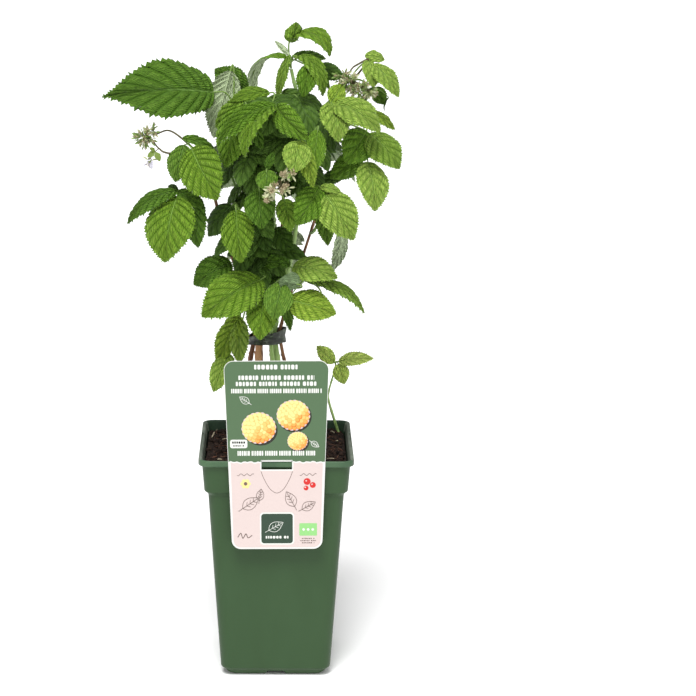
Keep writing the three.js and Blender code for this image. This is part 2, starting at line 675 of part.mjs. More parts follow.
    grown: { count: 4, azimuth: [30, 68], reach: [48, 72], height: [508, 562], length: [38, 50] } },
  { name: 'leaves_back', tone: 'mid', on: 'cane_back', at: 455, bough: [6, 58, 478], seed: 25,
    grown: { count: 4, azimuth: [75, 108], reach: [58, 80], height: [475, 545], length: [40, 54] } },
  { name: 'leaves_back_low_left', tone: 'mid', on: 'cane_thin', at: 385, bough: [-30, 34, 402], seed: 16,
    grown: { count: 3, azimuth: [100, 135], reach: [38, 54], height: [396, 440], length: [34, 44] } },
  { name: 'leaves_back_low_right', tone: 'mid', on: 'cane_back', at: 385, bough: [4, 44, 402], seed: 17,
    grown: { count: 3, azimuth: [74, 98], reach: [38, 54], height: [396, 440], length: [34, 44] } }
];

// ---------------------------------------------------------------- keeping pieces apart

function withBounds(mesh) {
  const box = new THREE.Box3().setFromPoints(mesh.points);
  const edges = new Map();
  mesh.faces.forEach((face) => {
    face.forEach((from, corner) => {
      const to = face[(corner + 1) % 3];
      edges.set(from < to ? `${from} ${to}` : `${to} ${from}`, [from, to]);
    });
  });
  return { ...mesh, box, edges: [...edges.values()] };
}

function segmentMeetsFace(start, end, a, b, c) {
  const run = end.clone().sub(start);
  const first = b.clone().sub(a);
  const second = c.clone().sub(a);
  const cross = run.clone().cross(second);
  const scale = first.dot(cross);
  if (Math.abs(scale) < 1e-9) {
    return false;
  }
  const offset = start.clone().sub(a);
  const u = offset.dot(cross) / scale;
  const turned = offset.cross(first);
  const v = run.dot(turned) / scale;
  const t = second.dot(turned) / scale;
  return u >= 0 && v >= 0 && u + v <= 1 && t >= 0 && t <= 1;
}

function edgesMeet(one, other) {
  return one.edges.some(([from, to]) => other.faces.some(([a, b, c]) => (
    segmentMeetsFace(one.points[from], one.points[to], other.points[a], other.points[b], other.points[c])
  )));
}

function meet(one, other) {
  return one.box.intersectsBox(other.box) && (edgesMeet(one, other) || edgesMeet(other, one));
}

function boxMesh(low, high) {
  const size = vector(...high).sub(vector(...low));
  const geometry = new THREE.BoxGeometry(size.x, size.y, size.z);
  geometry.translate((low[0] + high[0]) / 2, (low[1] + high[1]) / 2, (low[2] + high[2]) / 2);
  geometry.deleteAttribute('normal');
  geometry.deleteAttribute('uv');
  const merged = mergeVertices(geometry);
  const place = merged.attributes.position;
  const corner = (unused, index) => vector().fromBufferAttribute(place, index);
  const points = Array.from({ length: place.count }, corner);
  const index = merged.index.array;
  const faces = Array.from({ length: index.length / 3 }, (unused, face) => (
    [index[face * 3], index[face * 3 + 1], index[face * 3 + 2]]
  ));
  return { points, faces };
}

// ---------------------------------------------------------------- growing the masses

// The centre, direction and radius of a cane at a height.
function caneAt(cane, height) {
  const { line, radii } = cane;
  const index = line.findIndex((point) => point.z > height);
  const part = (height - line[index - 1].z) / (line[index].z - line[index - 1].z);
  const share = (index - 1 + part) / (line.length - 1);
  const centre = line[index - 1].clone().lerp(line[index], part);
  const direction = towards(line[index - 1], line[index]);
  return { centre, direction, radius: radii[0] + (radii[1] - radii[0]) * share };
}

function bend(from, through, to, steps) {
  const curve = new THREE.QuadraticBezierCurve3(from, through, to);
  return curve.getPoints(steps);
}

// The parts of one leaf: its stalk from the mass's stem, and its leaflets.
function leafParts(row, root, random) {
  const heading = towards(row.fork, row.tip);
  const reach = row.fork.distanceTo(root);
  const elbow = along(row.fork, heading, -elbowShare * reach);
  elbow.z -= sagShare * reach;
  const length = row.tip.distanceTo(row.fork);
  const neck = along(row.fork, heading, length * neckShare);
  const stalk = [...bend(root, elbow, row.fork, 2), neck];
  const { face, lean } = row;
  const look = {
    face, lean, aspect: row.aspect || leafletAspect, taper: row.taper || leafTaper, coarse: row.grown
  };
  const blade = (base, tip, arch, settings) => {
    const fold = 10 - random() * 16;
    return { base, tip, arch, fold, ...look, ...settings };
  };
  const leaflets = [blade(along(neck, heading, -rootDepth), row.tip, row.arch)];
  row.sides.forEach(({ tip, settings }) => {
    const place = vector(...tip);
    const leaflet = blade(row.fork, place, row.arch * sideArch, settings);
    if (settings.base) {
      const base = vector(...settings.base);
      leaflet.twig = [row.fork, base];
      leaflet.base = along(base, towards(base, place), -rootDepth);
    }
    leaflets.push(leaflet);
  });
  const hands = row.grown ? [-1, 1] : [];
  hands.forEach((hand) => {
    const upper = polar(face, Math.sin(lean * degrees), Math.cos(lean * degrees));
    const normal = upper.addScaledVector(heading, -upper.dot(heading)).normalize();
    const turn = hand * (58 + random() * 14) * degrees;
    const away = heading.clone().applyAxisAngle(normal, turn);
    away.z -= 0.15;
    const tip = along(row.fork, away.normalize(), length * sideShare);
    leaflets.push(blade(row.fork, tip, row.arch * sideArch));
  });
  return { stalk, leaflets };
}

const leafTrials = [
  [0, 0], [6, 0], [-6, 0], [0, 5], [0, -5], [12, 3], [-12, 3], [12, -4], [-12, -4], [18, 0], [-18, 0],
  [0, 10], [0, -10], [24, 6], [-24, 6], [24, -8], [-24, -8]
];

function turnedRow(row, root, [turn, lift]) {
  const move = (point) => {
    const moved = point.clone().sub(root).applyAxisAngle(vector(0, 0, 1), turn * degrees).add(root);
    moved.z += lift;
    return moved;
  };
  const sides = row.sides.map(({ tip, settings }) => {
    const moved = { ...settings };
    if (settings.base) {
      moved.base = move(vector(...settings.base)).toArray();
    }
    if (settings.face) {
      moved.face = settings.face + turn;
    }
    return { tip: move(vector(...tip)).toArray(), settings: moved };
  });
  return { ...row, fork: move(row.fork), tip: move(row.tip), sides, face: row.face + turn };
}

// A leaflet's solids: its blade, and the twig of one that stands off the fork.
function leafletSolids(leaflet, swell) {
  const solids = [leafletMesh(leaflet, swell)];
  if (leaflet.twig) {
    solids.push(tube(leaflet.twig, [petioleRadius + swell, petioleRadius + swell], twigSides));
  }
  return solids;
}

function stalkMesh(stalk, swell) {
  const radii = stalk.map((unused, index) => (index === 0 ? twigRadius : petioleRadius) + swell);
  return tube(stalk, radii, twigSides);
}

// A leaf takes the turn that keeps most of its leaflets off limbs, other masses and, where it
// grows by rule, its own mass. A leaflet that still touches is left out.
function growMass(mass, stem, limbs, others) {
  const random = seededRandom(mass.seed || 1);
  const rows = mass.leaves || grownLeaves(mass.grown, random);
  const strangers = [...limbs, ...others];
  const solids = [stem.mesh];
  const ownBlades = [];
  const ownStalks = [withBounds(stem.mesh)];
  const touches = (piece, pieces) => pieces.some((other) => meet(piece, other));
  rows.forEach((row, index) => {
    const joint = 1 + Math.floor(((stem.line.length - 1) * (index + 0.5)) / rows.length);
    const root = stem.line[joint];
    const draw = 1 + Math.floor(random() * 9999);
    let best = { count: 0 };
    leafTrials.forEach((trial) => {
      if (best.all) {
        return;
      }
      const { stalk, leaflets } = leafParts(turnedRow(row, root, trial), root, seededRandom(draw));
      const shaft = withBounds(stalkMesh(stalk, guard));
      if (touches(shaft, strangers) || (row.grown && touches(shaft, ownBlades))) {
        return;
      }
      const free = leaflets.filter((leaflet) => {
        const near = row.grown ? [...strangers, ...ownBlades, ...ownStalks] : strangers;
        return leafletSolids(leaflet, guard).every((solid) => !touches(withBounds(solid), near));
      });
      if (free.length > best.count) {
        best = { stalk, free, count: free.length, all: free.length === leaflets.length };
      }
    });
    if (best.count === 0) {
      return;
    }
    const blades = best.free.flatMap((leaflet) => leafletSolids(leaflet, 0));
    const shaft = stalkMesh(best.stalk, 0);
    ownBlades.push(...blades.map(withBounds));
    ownStalks.push(withBounds(shaft));
    solids.push(shaft, ...blades);
  });
  return solids;
}

// A flower truss: bent stalks from the mass's stem, each cluster of heads as one faceted bud on a
// short stalk from the nearest end, and sometimes one open flower. A cluster is [x, y, z, radius].
function trussMeshes(truss, stem) {
  const root = stem.line[stem.line.length - 2];
  const shape = new THREE.OctahedronGeometry(1);
  const solids = [];
  const ends = truss.ways.map((way) => {
    const line = spline([root, ...way.map((place) => vector(...place))], 2 * way.length);
    solids.push(tube(line, taper(trussRadii[0], trussRadii[1], line.length), twigSides));
    return { end: line[line.length - 1], before: line[line.length - 2] };
  });
  const bud = (centre, width, depth, height) => {
    const solid = shape.clone();
    solid.scale(width, depth, height);
    solid.translate(centre.x, centre.y, centre.z);
    solids.push(solid);
  };
  const hang = (from, end) => {
    const inside = along(from.end, towards(from.end, from.before), rootDepth);
    const middle = inside.clone().lerp(end, 0.5);
    middle.z += 1;
    solids.push(tube([inside, middle, end], [trussRadii[1], trussRadii[1], budStalk], twigSides));
  };
  truss.clusters.forEach(([x, y, z, radius]) => {
    const centre = vector(x, y, z);
    const gap = (way) => way.end.distanceTo(centre);
    hang(ends.reduce((best, way) => (gap(way) < gap(best) ? way : best)), centre);
    bud(centre, radius, radius, radius);
  });
  if (truss.flower) {
    const centre = vector(...truss.flower);
    hang(ends[ends.length - 1], centre);
    bud(centre, flowerReach, flowerReach / 2, flowerReach);
  }
  return solids;
}

// ---------------------------------------------------------------- the assembly

const plant = new THREE.Group();

function addMesh(name, geometry, tone, roughness) {
  const material = new THREE.MeshStandardMaterial({ color: tones[tone], roughness, metalness: 0 });
  const mesh = new THREE.Mesh(geometry, material);
  mesh.name = name;
  plant.add(mesh);
  return mesh;
}

addMesh('pot', potGeometry(), 'pot', 0.45);
addMesh('soil', soilGeometry(), 'soil', 1);
const label = addMesh('label', labelGeometry(), 'label', 0.4);
label.rotation.y = -labelLean * degrees;
label.position.x = labelShift;
addMesh('tie', tieGeometry(), 'tie', 0.7).position.set(tieCentre, 0, tieHeight - tieBand / 2);

// The leaves keep off a box round the hanging label.
const labelReach = labelWidthTop / 2 + 1;
const limbs = [withBounds(boxMesh(
  [-labelReach, labelFront - labelThick, labelBottom],
  [labelReach, labelFront, labelTop + 1]
))];
const lines = {};
[...canes, sucker].forEach((cane) => {
  const { line, mesh } = caneMesh(cane);
  lines[cane.name] = { line, radii: cane.radii };
  limbs.push(withBounds(mesh));
  addMesh(cane.name, toGeometry(mesh), cane.tone, 0.7);
});

// A bough leaves its cane nearly level, a hair clear of the bark, and rises to its tip. The
// distance allows for the cane's lean and for the bough's own rise over its cut end.
function boughLine(mass) {
  const { centre, direction, radius } = caneAt(lines[mass.on], mass.at);
  const tip = vector(...mass.bough);
  const level = vector(tip.x - centre.x, tip.y - centre.y, 0);
  const outward = level.clone().normalize();
  const lean = Math.abs(direction.dot(outward) / direction.z);
  const lineFrom = (distance) => {
    const start = along(centre, outward, distance);
    const elbow = along(start, level, 0.5);
    elbow.z += (tip.z - start.z) * 0.18;
    return bend(start, elbow, tip, 4);
  };
  const seat = radius * Math.hypot(1, lean) + clear + boughRadii[0] * lean;
  const rough = lineFrom(seat);
  return lineFrom(seat + boughRadii[0] * Math.abs(towards(rough[0], rough[1]).z));
}

masses.forEach((mass) => {
  mass.carrier = lines[mass.on].line;
  if (mass.bough) {
    mass.carrier = boughLine(mass);
    const mesh = tube(mass.carrier, taper(boughRadii[0], boughRadii[1], mass.carrier.length), boughSides);
    limbs.push(withBounds(mesh));
    addMesh(mass.name.replace('leaves', 'bough'), toGeometry(mesh), 'green', 0.7);
  }
});

// The stem of a mass starts clear of what carries it and runs towards its leaves.
masses.forEach((mass) => {
  const tip = mass.carrier[mass.carrier.length - 1];
  const before = mass.carrier[mass.carrier.length - 2];
  const start = along(tip, towards(before, tip), clear + 0.1);
  const rows = mass.leaves || grownLeaves(mass.grown, seededRandom(mass.seed || 1));
  const middle = rows.reduce((sum, row) => sum.add(row.fork), vector(0, 0, 0)).divideScalar(rows.length);
  const end = start.clone().lerp(middle, stemShare);
  const line = bend(start, along(start, towards(before, tip), stemRise), end, 4);
  mass.stem = { line, mesh: tube(line, taper(stemRadius, twigRadius, line.length), twigSides) };
});

const placed = [];
masses.forEach((mass) => {
  const otherStems = masses.filter((other) => other !== mass).map((other) => withBounds(other.stem.mesh));
  const solids = growMass(mass, mass.stem, limbs, [...otherStems, ...placed]);
  const geometries = solids.map(toGeometry);
  placed.push(...solids.map(withBounds));
  if (mass.truss) {
    trussMeshes(mass.truss, mass.stem).forEach((solid) => {
      geometries.push(solid.isBufferGeometry ? solid : toGeometry(solid));
    });
  }
  addMesh(mass.name, fromManifold(mainBody(join(geometries))), mass.tone, 0.6);
});

export default plant;
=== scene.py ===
"""The looks of a raspberry plant in a tall square nursery pot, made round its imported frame.

Sizes are in millimetres until a mesh is made. The origin is on the pot's base at its centre,
+Z is up, and the label hangs on the -Y side. Canes, boughs and leaves follow the same seeded
rule as the solids they replace, carried on to pleated blades, bark, prickles and flowers.
"""

import math

import bpy
import numpy as np
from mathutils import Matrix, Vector, geometry, noise
from mathutils.bvhtree import BVHTree


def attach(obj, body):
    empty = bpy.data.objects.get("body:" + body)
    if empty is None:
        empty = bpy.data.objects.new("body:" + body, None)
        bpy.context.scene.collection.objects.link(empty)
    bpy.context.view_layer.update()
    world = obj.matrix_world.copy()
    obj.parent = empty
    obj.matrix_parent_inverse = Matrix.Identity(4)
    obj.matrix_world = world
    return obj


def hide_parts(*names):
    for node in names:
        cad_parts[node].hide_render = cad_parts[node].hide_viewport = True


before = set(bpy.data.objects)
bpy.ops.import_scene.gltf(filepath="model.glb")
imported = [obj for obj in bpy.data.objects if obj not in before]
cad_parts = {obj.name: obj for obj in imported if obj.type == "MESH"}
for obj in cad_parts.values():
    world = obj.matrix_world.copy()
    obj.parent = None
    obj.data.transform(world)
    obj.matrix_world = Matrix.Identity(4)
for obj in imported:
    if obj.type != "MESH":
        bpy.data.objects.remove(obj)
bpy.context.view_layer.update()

MM = 0.001

# ---------------------------------------------------------------- camera and light

LENS = 111.73
SENSOR = 36
CAMERA_PLACE = (0, -2.059, 0.8243)
CAMERA_PITCH = 13.7
CAMERA_ROLL = -0.2
FRAMING_SHIFT = 0.1
CAMERA_REACH = 100
WORLD_LIGHT = 0.53
FLOOR_HALF = 90
FLOOR_WHITE = 0.95

# Each lamp's name, turn in degrees, strength and softness in degrees.
LAMPS = [("key", (30, 0, -10), 3.25, 24), ("fill", (60, 0, 18), 0.85, 75)]


def make_camera():
    data = bpy.data.cameras.new("camera")
    data.lens = LENS
    data.sensor_width = SENSOR
    data.clip_end = CAMERA_REACH
    data.shift_x = FRAMING_SHIFT
    camera = bpy.data.objects.new("camera", data)
    camera.location = CAMERA_PLACE
    camera.rotation_euler = (math.radians(90 - CAMERA_PITCH), math.radians(CAMERA_ROLL), 0)
    bpy.context.scene.collection.objects.link(camera)
    bpy.context.scene.camera = camera


def make_sun(name, turn, strength, softness):
    data = bpy.data.lights.new(name, "SUN")
    data.energy = strength
    data.angle = math.radians(softness)
    lamp = bpy.data.objects.new(name, data)
    lamp.rotation_euler = [math.radians(angle) for angle in turn]
    bpy.context.scene.collection.objects.link(lamp)


def make_stage():
    scene = bpy.context.scene
    scene.view_settings.view_transform = "Standard"
    world = bpy.data.worlds.new("studio")
    world.use_nodes = True
    background = world.node_tree.nodes["Background"]
    background.inputs["Color"].default_value = (1, 1, 1, 1)
    background.inputs["Strength"].default_value = WORLD_LIGHT
    scene.world = world
    for lamp in LAMPS:
        make_sun(*lamp)
    corners = [(x * FLOOR_HALF, y * FLOOR_HALF, 0) for x, y in ((-1, -1), (1, -1), (1, 1), (-1, 1))]
    mesh = bpy.data.meshes.new("floor")
    mesh.from_pydata(corners, [], [(0, 1, 2, 3)])
    mesh.materials.append(plain("floor_white", [FLOOR_WHITE] * 3, 0.9))
    floor = bpy.data.objects.new("floor", mesh)
    scene.collection.objects.link(floor)


# ---------------------------------------------------------------- materials

LEAF_PLACE = "leaf_place"
WRINKLE_GAP = 2.3
VEIN_GAP = 6.2


def linear(colour):
    """A colour given as 0xRRGGBB, as linear light."""
    parts = [(colour >> shift & 255) / 255 for shift in (16, 8, 0)]
    return tuple(part / 12.92 if part <= 0.04045 else ((part + 0.055) / 1.055) ** 2.4 for part in parts)


def shaded(colour, shade):
    """A colour given as 0xRRGGBB, as linear light times a shade for each channel."""
    return tuple(min(part * share, 1) for part, share in zip(linear(colour), shade))


def plain(name, colour, roughness):
    material = bpy.data.materials.new(name)
    material.use_nodes = True
    shader = material.node_tree.nodes["Principled BSDF"]
    shader.inputs["Base Color"].default_value = (*colour, 1)
    shader.inputs["Roughness"].default_value = roughness
    return material


class Finish:
    """A Principled material under construction: noise drives its bump, roughness and colour."""

    def __init__(self, name, colour, roughness=0.5, specular=0.5):
        self.material = plain(name, colour if isinstance(colour, tuple) else linear(colour), roughness)
        self.nodes = self.material.node_tree.nodes
        self.links = self.material.node_tree.links
        self.shader = self.nodes["Principled BSDF"]
        self.shader.inputs["Specular IOR Level"].default_value = specular
        self.bumped = None
        self.place = self.node("TexCoord").outputs["Object"]

    def node(self, kind, inputs=None, **settings):
        """A new node. Each of its inputs is a plain value or another node's output."""
        made = self.nodes.new("ShaderNode" + kind)
        for name, value in settings.items():
            setattr(made, name, value)
        for socket, value in (inputs or {}).items():
            if isinstance(value, bpy.types.NodeSocket):
                self.links.new(value, made.inputs[socket])
            else:
                made.inputs[socket].default_value = value
        return made

    def noise(self, scale, detail=3, stretch=(1, 1, 1)):
        place = self.node("Mapping", {"Scale": stretch, "Vector": self.place}).outputs["Vector"]
        return self.node("TexNoise", {"Scale": scale, "Detail": detail, "Vector": place}).outputs["Fac"]

    def cells(self, scale):
        inputs = {"Scale": scale, "Vector": self.place}
        return self.node("TexVoronoi", inputs, feature="SMOOTH_F1").outputs["Distance"]

    def maths(self, operation, first, second=0.0):
        return self.node("Math", {0: first, 1: second}, operation=operation).outputs[0]

    def wrinkles(self):
        """Uneven bands across the side veins' way, by each point's place on its own leaflet."""
        place = self.node("Attribute", attribute_name=LEAF_PLACE).outputs["Vector"]
        looks = {"Scale": 0.314 / WRINKLE_GAP, "Distortion": 3.6, "Detail": 1, "Detail Scale": 1.6}
        ripples = self.node("TexWave", {**looks, "Vector": place}).outputs["Fac"]
        along = self.node("SeparateXYZ", {"Vector": place}).outputs["Y"]
        veins = self.maths("SINE", self.maths("MULTIPLY", along, math.pi / VEIN_GAP))
        return self.maths("MULTIPLY", self.maths("ABSOLUTE", veins), ripples)

    def bump(self, height, strength, distance):
        inputs = {"Height": height, "Strength": strength, "Distance": distance}
        if self.bumped:
            inputs["Normal"] = self.bumped
        self.bumped = self.node("Bump", inputs).outputs["Normal"]
        self.links.new(self.bumped, self.shader.inputs["Normal"])

    def vary_roughness(self, source, low, high):
        spread = self.node("MapRange", {"Value": source, "To Min": low, "To Max": high})
        self.links.new(spread.outputs["Result"], self.shader.inputs["Roughness"])

    def vary_colour(self, source, colours, spread=(0.35, 0.65)):
        ramp = self.node("ValToRGB", {"Fac": source})
        ends = ramp.color_ramp.elements
        ends[0].position, ends[1].position = spread
        ends[0].color = (*linear(colours[0]), 1)
        ends[1].color = (*linear(colours[-1]), 1)
        for index, colour in enumerate(colours[1:-1]):
            share = (index + 1) / (len(colours) - 1)
            middle = ends.new(spread[0] + (spread[1] - spread[0]) * share)
            middle.color = (*linear(colour), 1)
        self.links.new(ramp.outputs["Color"], self.shader.inputs["Base Color"])


def pot_plastic(name, colours, roughness):
    finish = Finish(name, colours[0], roughness[0], 0.28)
    finish.vary_colour(finish.noise(38, 4, (1, 1, 0.35)), colours, (0.3, 0.75))
    finish.vary_roughness(finish.noise(160, 3), *roughness)
    finish.bump(finish.noise(900, 2), 0.12, 0.0003)
    finish.bump(finish.noise(26, 2, (1, 1, 0.4)), 0.2, 0.0012)
    return finish.material


def leaf_skin(name, colour, roughness, relief):
    """One plain tint, with wrinkles between the side veins and a fine net of veins on them."""
    finish = Finish(name, colour, roughness, 0.14)
    finish.bump(finish.wrinkles(), relief, 0.0024)
    finish.bump(finish.cells(560), relief * 0.6, 0.0012)
    return finish.material


def stem_skin(name, colour, roughness=0.55):
    finish = Finish(name, colour, roughness, 0.35)
    finish.bump(finish.noise(700, 3, (1, 1, 0.15)), 0.35, 0.0005)
    return finish.material


def bark(name, colours, roughness):
    finish = Finish(name, colours[0], roughness, 0.3)
    finish.vary_colour(finish.noise(330, 5, (1, 1, 0.12)), colours, (0.28, 0.72))
    finish.vary_roughness(finish.noise(420, 3), roughness - 0.1, roughness + 0.12)
    finish.bump(finish.noise(520, 5, (1, 1, 0.1)), 0.5, 0.0008)
    return finish.material


def card(name, colour):
    """Coated printed card: a plain ink with a slight orange-peel gloss."""
    finish = Finish(name, colour, 0.42, 0.4)
    finish.vary_roughness(finish.noise(140, 2), 0.34, 0.5)
    finish.bump(finish.noise(1300, 2), 0.06, 0.0002)
    return finish.material


# ---------------------------------------------------------------- vectors, draws and meshes

UP = np.array([0.0, 0.0, 1.0])


def vec(*values):
    return np.array(values, float)


def unit(v):
    return v / np.linalg.norm(v)


def polar(azimuth, reach, height):
    turn = math.radians(azimuth)
    return vec(math.cos(turn) * reach, math.sin(turn) * reach, height)


def tilted(azimuth, lean):
    """The direction that leans from straight up towards an azimuth, in degrees."""
    lean = math.radians(lean)
    return polar(azimuth, math.sin(lean), math.cos(lean))


def rotated(v, axis, degrees):
    turn = math.radians(degrees)
    cross = np.cross(axis, v)
    return v * math.cos(turn) + cross * math.sin(turn) + axis * np.dot(axis, v) * (1 - math.cos(turn))


def square_to(v, axis):
    """The direction of v with what runs along the axis taken out."""
    return unit(v - axis * np.dot(v, axis))


def swung(ahead, aside, degrees):
    """A direction turned from one axis towards another that is square to it."""
    turn = math.radians(degrees)
    return ahead * math.cos(turn) + aside * math.sin(turn)


class Draws:
    """The seeded draws that the solids use."""

    def __init__(self, seed):
        self.state = seed & 0xFFFFFFFF

    def __call__(self):
        self.state = (self.state * 1664525 + 1013904223) & 0xFFFFFFFF
        return (self.state >> 8) / 16777216

    def between(self, low, high):
        return low + (high - low) * self()


class Store:
    """Points in millimetres, and quads and triangles that each carry a material number."""

    def __init__(self):
        self.points, self.quads, self.tris = [], [], []
        self.quad_kinds, self.tri_kinds = [], []
        self.places = []
        self.count = 0

    def add(self, points, quads=(), tris=(), quad_kinds=0, tri_kinds=0, places=None):
        points = np.asarray(points, float).reshape(-1, 3)
        self.points.append(points)
        if places is not None:
            self.places.append(places)
        for faces, kinds, held, held_kinds, size in (
            (quads, quad_kinds, self.quads, self.quad_kinds, 4),
            (tris, tri_kinds, self.tris, self.tri_kinds, 3),
        ):
            faces = np.asarray(faces, int).reshape(-1, size)
            if len(faces):
                held.append(faces + self.count)
                held_kinds.append(np.broadcast_to(np.asarray(kinds, int), len(faces)))
        self.count += len(points)

    def add_rings(self, points, rings, around, kind):
        """Rings of points from the lower to the upper, then a centre for each end."""
        number = np.arange(rings - 1)
        ends = [cap(around, 0, rings * around, True), cap(around, rings - 1, rings * around + 1)]
        self.add(points, bands(around, number, number + 1), np.concatenate(ends), kind, kind)

    def triangles(self):
        return 2 * sum(map(len, self.quads)) + sum(map(len, self.tris))

    def tree(self):
        """What tests for crossings read."""
        faces = [tuple(map(int, face)) for held in (*self.quads, *self.tris) for face in held]
        return BVHTree.FromPolygons(np.concatenate(self.points).tolist(), faces)

    def object(self, name, materials, crease=55):
        points = np.concatenate(self.points) * MM
        corners = np.concatenate([held.ravel() for held in (*self.quads, *self.tris)])
        totals = np.repeat([4, 3], [sum(map(len, self.quads)), sum(map(len, self.tris))])
        starts = np.concatenate([[0], np.cumsum(totals)[:-1]])
        kinds = np.concatenate([*self.quad_kinds, *self.tri_kinds])
        mesh = bpy.data.meshes.new(name)
        mesh.vertices.add(len(points))
        mesh.vertices.foreach_set("co", points.astype(np.float32).ravel())
        mesh.loops.add(len(corners))
        mesh.loops.foreach_set("vertex_index", corners.astype(np.int32))
        mesh.polygons.add(len(totals))
        for field, values in (("loop_start", starts), ("loop_total", totals), ("material_index", kinds)):
            mesh.polygons.foreach_set(field, values.astype(np.int32))
        mesh.polygons.foreach_set("use_smooth", np.ones(len(totals), bool))
        mesh.update(calc_edges=True)
        mesh.validate()
        mesh.set_sharp_from_angle(angle=math.radians(crease))
        if self.places:
            held = mesh.attributes.new(LEAF_PLACE, "FLOAT_VECTOR", "POINT")
            held.data.foreach_set("vector", np.concatenate(self.places).astype(np.float32).ravel())
        for material in materials:
            mesh.materials.append(material)
        made = bpy.data.objects.new(name, mesh)
        bpy.context.scene.collection.objects.link(made)
        return made


def bands(around, low, high):
    """Quads between rings of as many points each. low and high are the rings' numbers."""
    step = np.arange(around)
    after = (step + 1) % around
    low, high = (np.asarray(number)[:, None] * around for number in (low, high))
    return np.stack([low + step, low + after, high + after, high + step], -1).reshape(-1, 4)


def cap(around, ring, centre, downward=False):
    """Triangles from a ring to its centre point."""
    step = np.arange(around)
    after = (step + 1) % around
    first, second = (after, step) if downward else (step, after)
    return np.stack([np.full(around, centre), first + ring * around, second + ring * around], -1)


def dress(piece, slot, *nodes):
    """The piece rides with the pot and stands for its nodes. Its slot is not used."""
    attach(piece, "root")
    if nodes:
        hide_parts(*nodes)


def catmull_rom(points, steps):
    """The curve of the canes, with both ends carried on in a straight line."""
    points = [np.asarray(point, float) for point in points]
    held = [2 * points[0] - points[1], *points, 2 * points[-1] - points[-2]]
    line = []
    for share in np.linspace(0, len(points) - 1, steps + 1):
        index = min(int(share), len(points) - 2)
        a, b, c, d = held[index:index + 4]
        t = share - index
        line.append(0.5 * (2 * b + (c - a) * t + (2 * a - 5 * b + 4 * c - d) * t ** 2
                           + (3 * b - a - 3 * c + d) * t ** 3))
    return np.array(line)


def quadratic(start, through, end, steps):
    t = np.linspace(0, 1, steps + 1)[:, None]
    return (1 - t) ** 2 * start + 2 * t * (1 - t) * through + t ** 2 * end


def tube(store, line, radii, sides, kind=0, relief=None):
    """A closed tube. relief scales each ring's radii, as rings by sides."""
    line = np.asarray(line, float)
    radii = np.broadcast_to(radii, len(line))
    tangents = np.gradient(line, axis=0)
    tangents /= np.linalg.norm(tangents, axis=1)[:, None]
    across = vec(1, 0, 0) if abs(tangents[0][2]) > 0.9 else vec(0, 0, 1)
    turns = np.arange(sides) * 2 * math.pi / sides
    points = []
    for index, (point, tangent) in enumerate(zip(line, tangents)):
        across = square_to(across, tangent)
        beside = np.cross(tangent, across)
        ring = np.outer(np.cos(turns), across) + np.outer(np.sin(turns), beside)
        scale = radii[index] if relief is None else radii[index] * relief[index][:, None]
        points.append(point + ring * scale)
    store.add_rings(np.concatenate([*points, line[:1], line[-1:]]), len(line), sides, kind)


def ball(store, centre, axes, kind=0, rough=0.0, seed=0, rings=6, sides=8):
    """A closed lumpy ellipsoid. axes are its three half lengths as vectors."""
    turns = np.arange(sides) * 2 * math.pi / sides
    rows = []
    for ring in range(1, rings):
        lift = math.pi * ring / rings
        for turn in turns:
            direction = (math.sin(lift) * math.cos(turn), math.sin(lift) * math.sin(turn), math.cos(lift))
            swell = 1 + rough * noise.noise(Vector(direction) * 1.7 + Vector((seed, seed * 0.37, 0)))
            rows.append(np.dot(direction, axes) * swell)
    points = np.concatenate([np.array(rows), [axes[2]], [-axes[2]]]) + centre
    number = np.arange(rings - 2)
    quads = np.roll(bands(sides, number + 1, number), 1, 1)
    tris = [cap(sides, 0, len(rows)), cap(sides, rings - 2, len(rows) + 1, True)]
    store.add(points, quads, np.concatenate(tris), kind, kind)


# ---------------------------------------------------------------- the pot

POT_CORNER = 10
COLLAR_HALF = 71.3
FLOOR_UNDER = 5.2
PAD_RADIUS = 15
ARCH_HALF = 11.5
ARCH_HEIGHT = 4.6
ARCH_DEPTH = (-60, -34)
ARCH_CORNER = (2.6, 3.6)
SLOT = [(-26, 227.1), (26, 227.1), (26, 230.5), (-26, 230.5)]
SLOT_DEPTH = (-74.2, -72.6)
DRAIN_PLACE = (27, 27, 0)
DRAIN_RADIUS = 5
DRAIN_HEIGHT = 12
RIM_FOOT = 222
POT_SHARP = 32

# Half width, height and fillet radius of each corner of the pot's wall, outside and then inside.
POT_PROFILE = [
    (41.5, 5.2, 0), (42.5, 0, 0.5), (46, 0, 1.2), (49.3, 2.4, 1.2), (50.9, 5.8, 0.6), (52.4, 6.6, 0.5),
    (54.3, 8.8, 1.4), (59, 81, 0), (65.9, 191, 1), (67.8, 193.6, 1), (69.6, 195.2, 0.8), (71.3, 218.8, 0.8),
    (71.8, 221.9, 0.8), (75, 222.9, 0.9), (75, 228.5, 1.3), (72.4, 228.5, 1), (71.2, 226.9, 1),
    (69.8, 218.5, 1), (68.3, 197.5, 1), (64.4, 192.4, 1), (57.5, 81, 0), (52.4, 13, 2), (49, 8.5, 1),
    (47.5, 7, 0)
]
CORNER_STEPS = 12
FILLET_STEPS = 3

# Each pot finish's name, colours and range of roughness.
WALL, RIM, SHADED_INSIDE, GREY_SIDE_LIPS = range(4)
POT_FINISHES = [
    ("pot_green", (0x2B4425, 0x2F492A), (0.4, 0.54)),
    # The rim's front and back take a paler, more mottled green than the wall.
    ("pot_rim_paler", (0x344C36, 0x4A6648), (0.36, 0.5)),
    # Painted shade: the inside is near black, for the shade in the pot's hollow.
    ("pot_inside_painted_shade", (0x16261A, 0x2C4630), (0.5, 0.7)),
    # The rim's two side lips take a greyer finish.
    ("pot_side_lips_grey", (0x465044, 0x767E72), (0.45, 0.6))
]


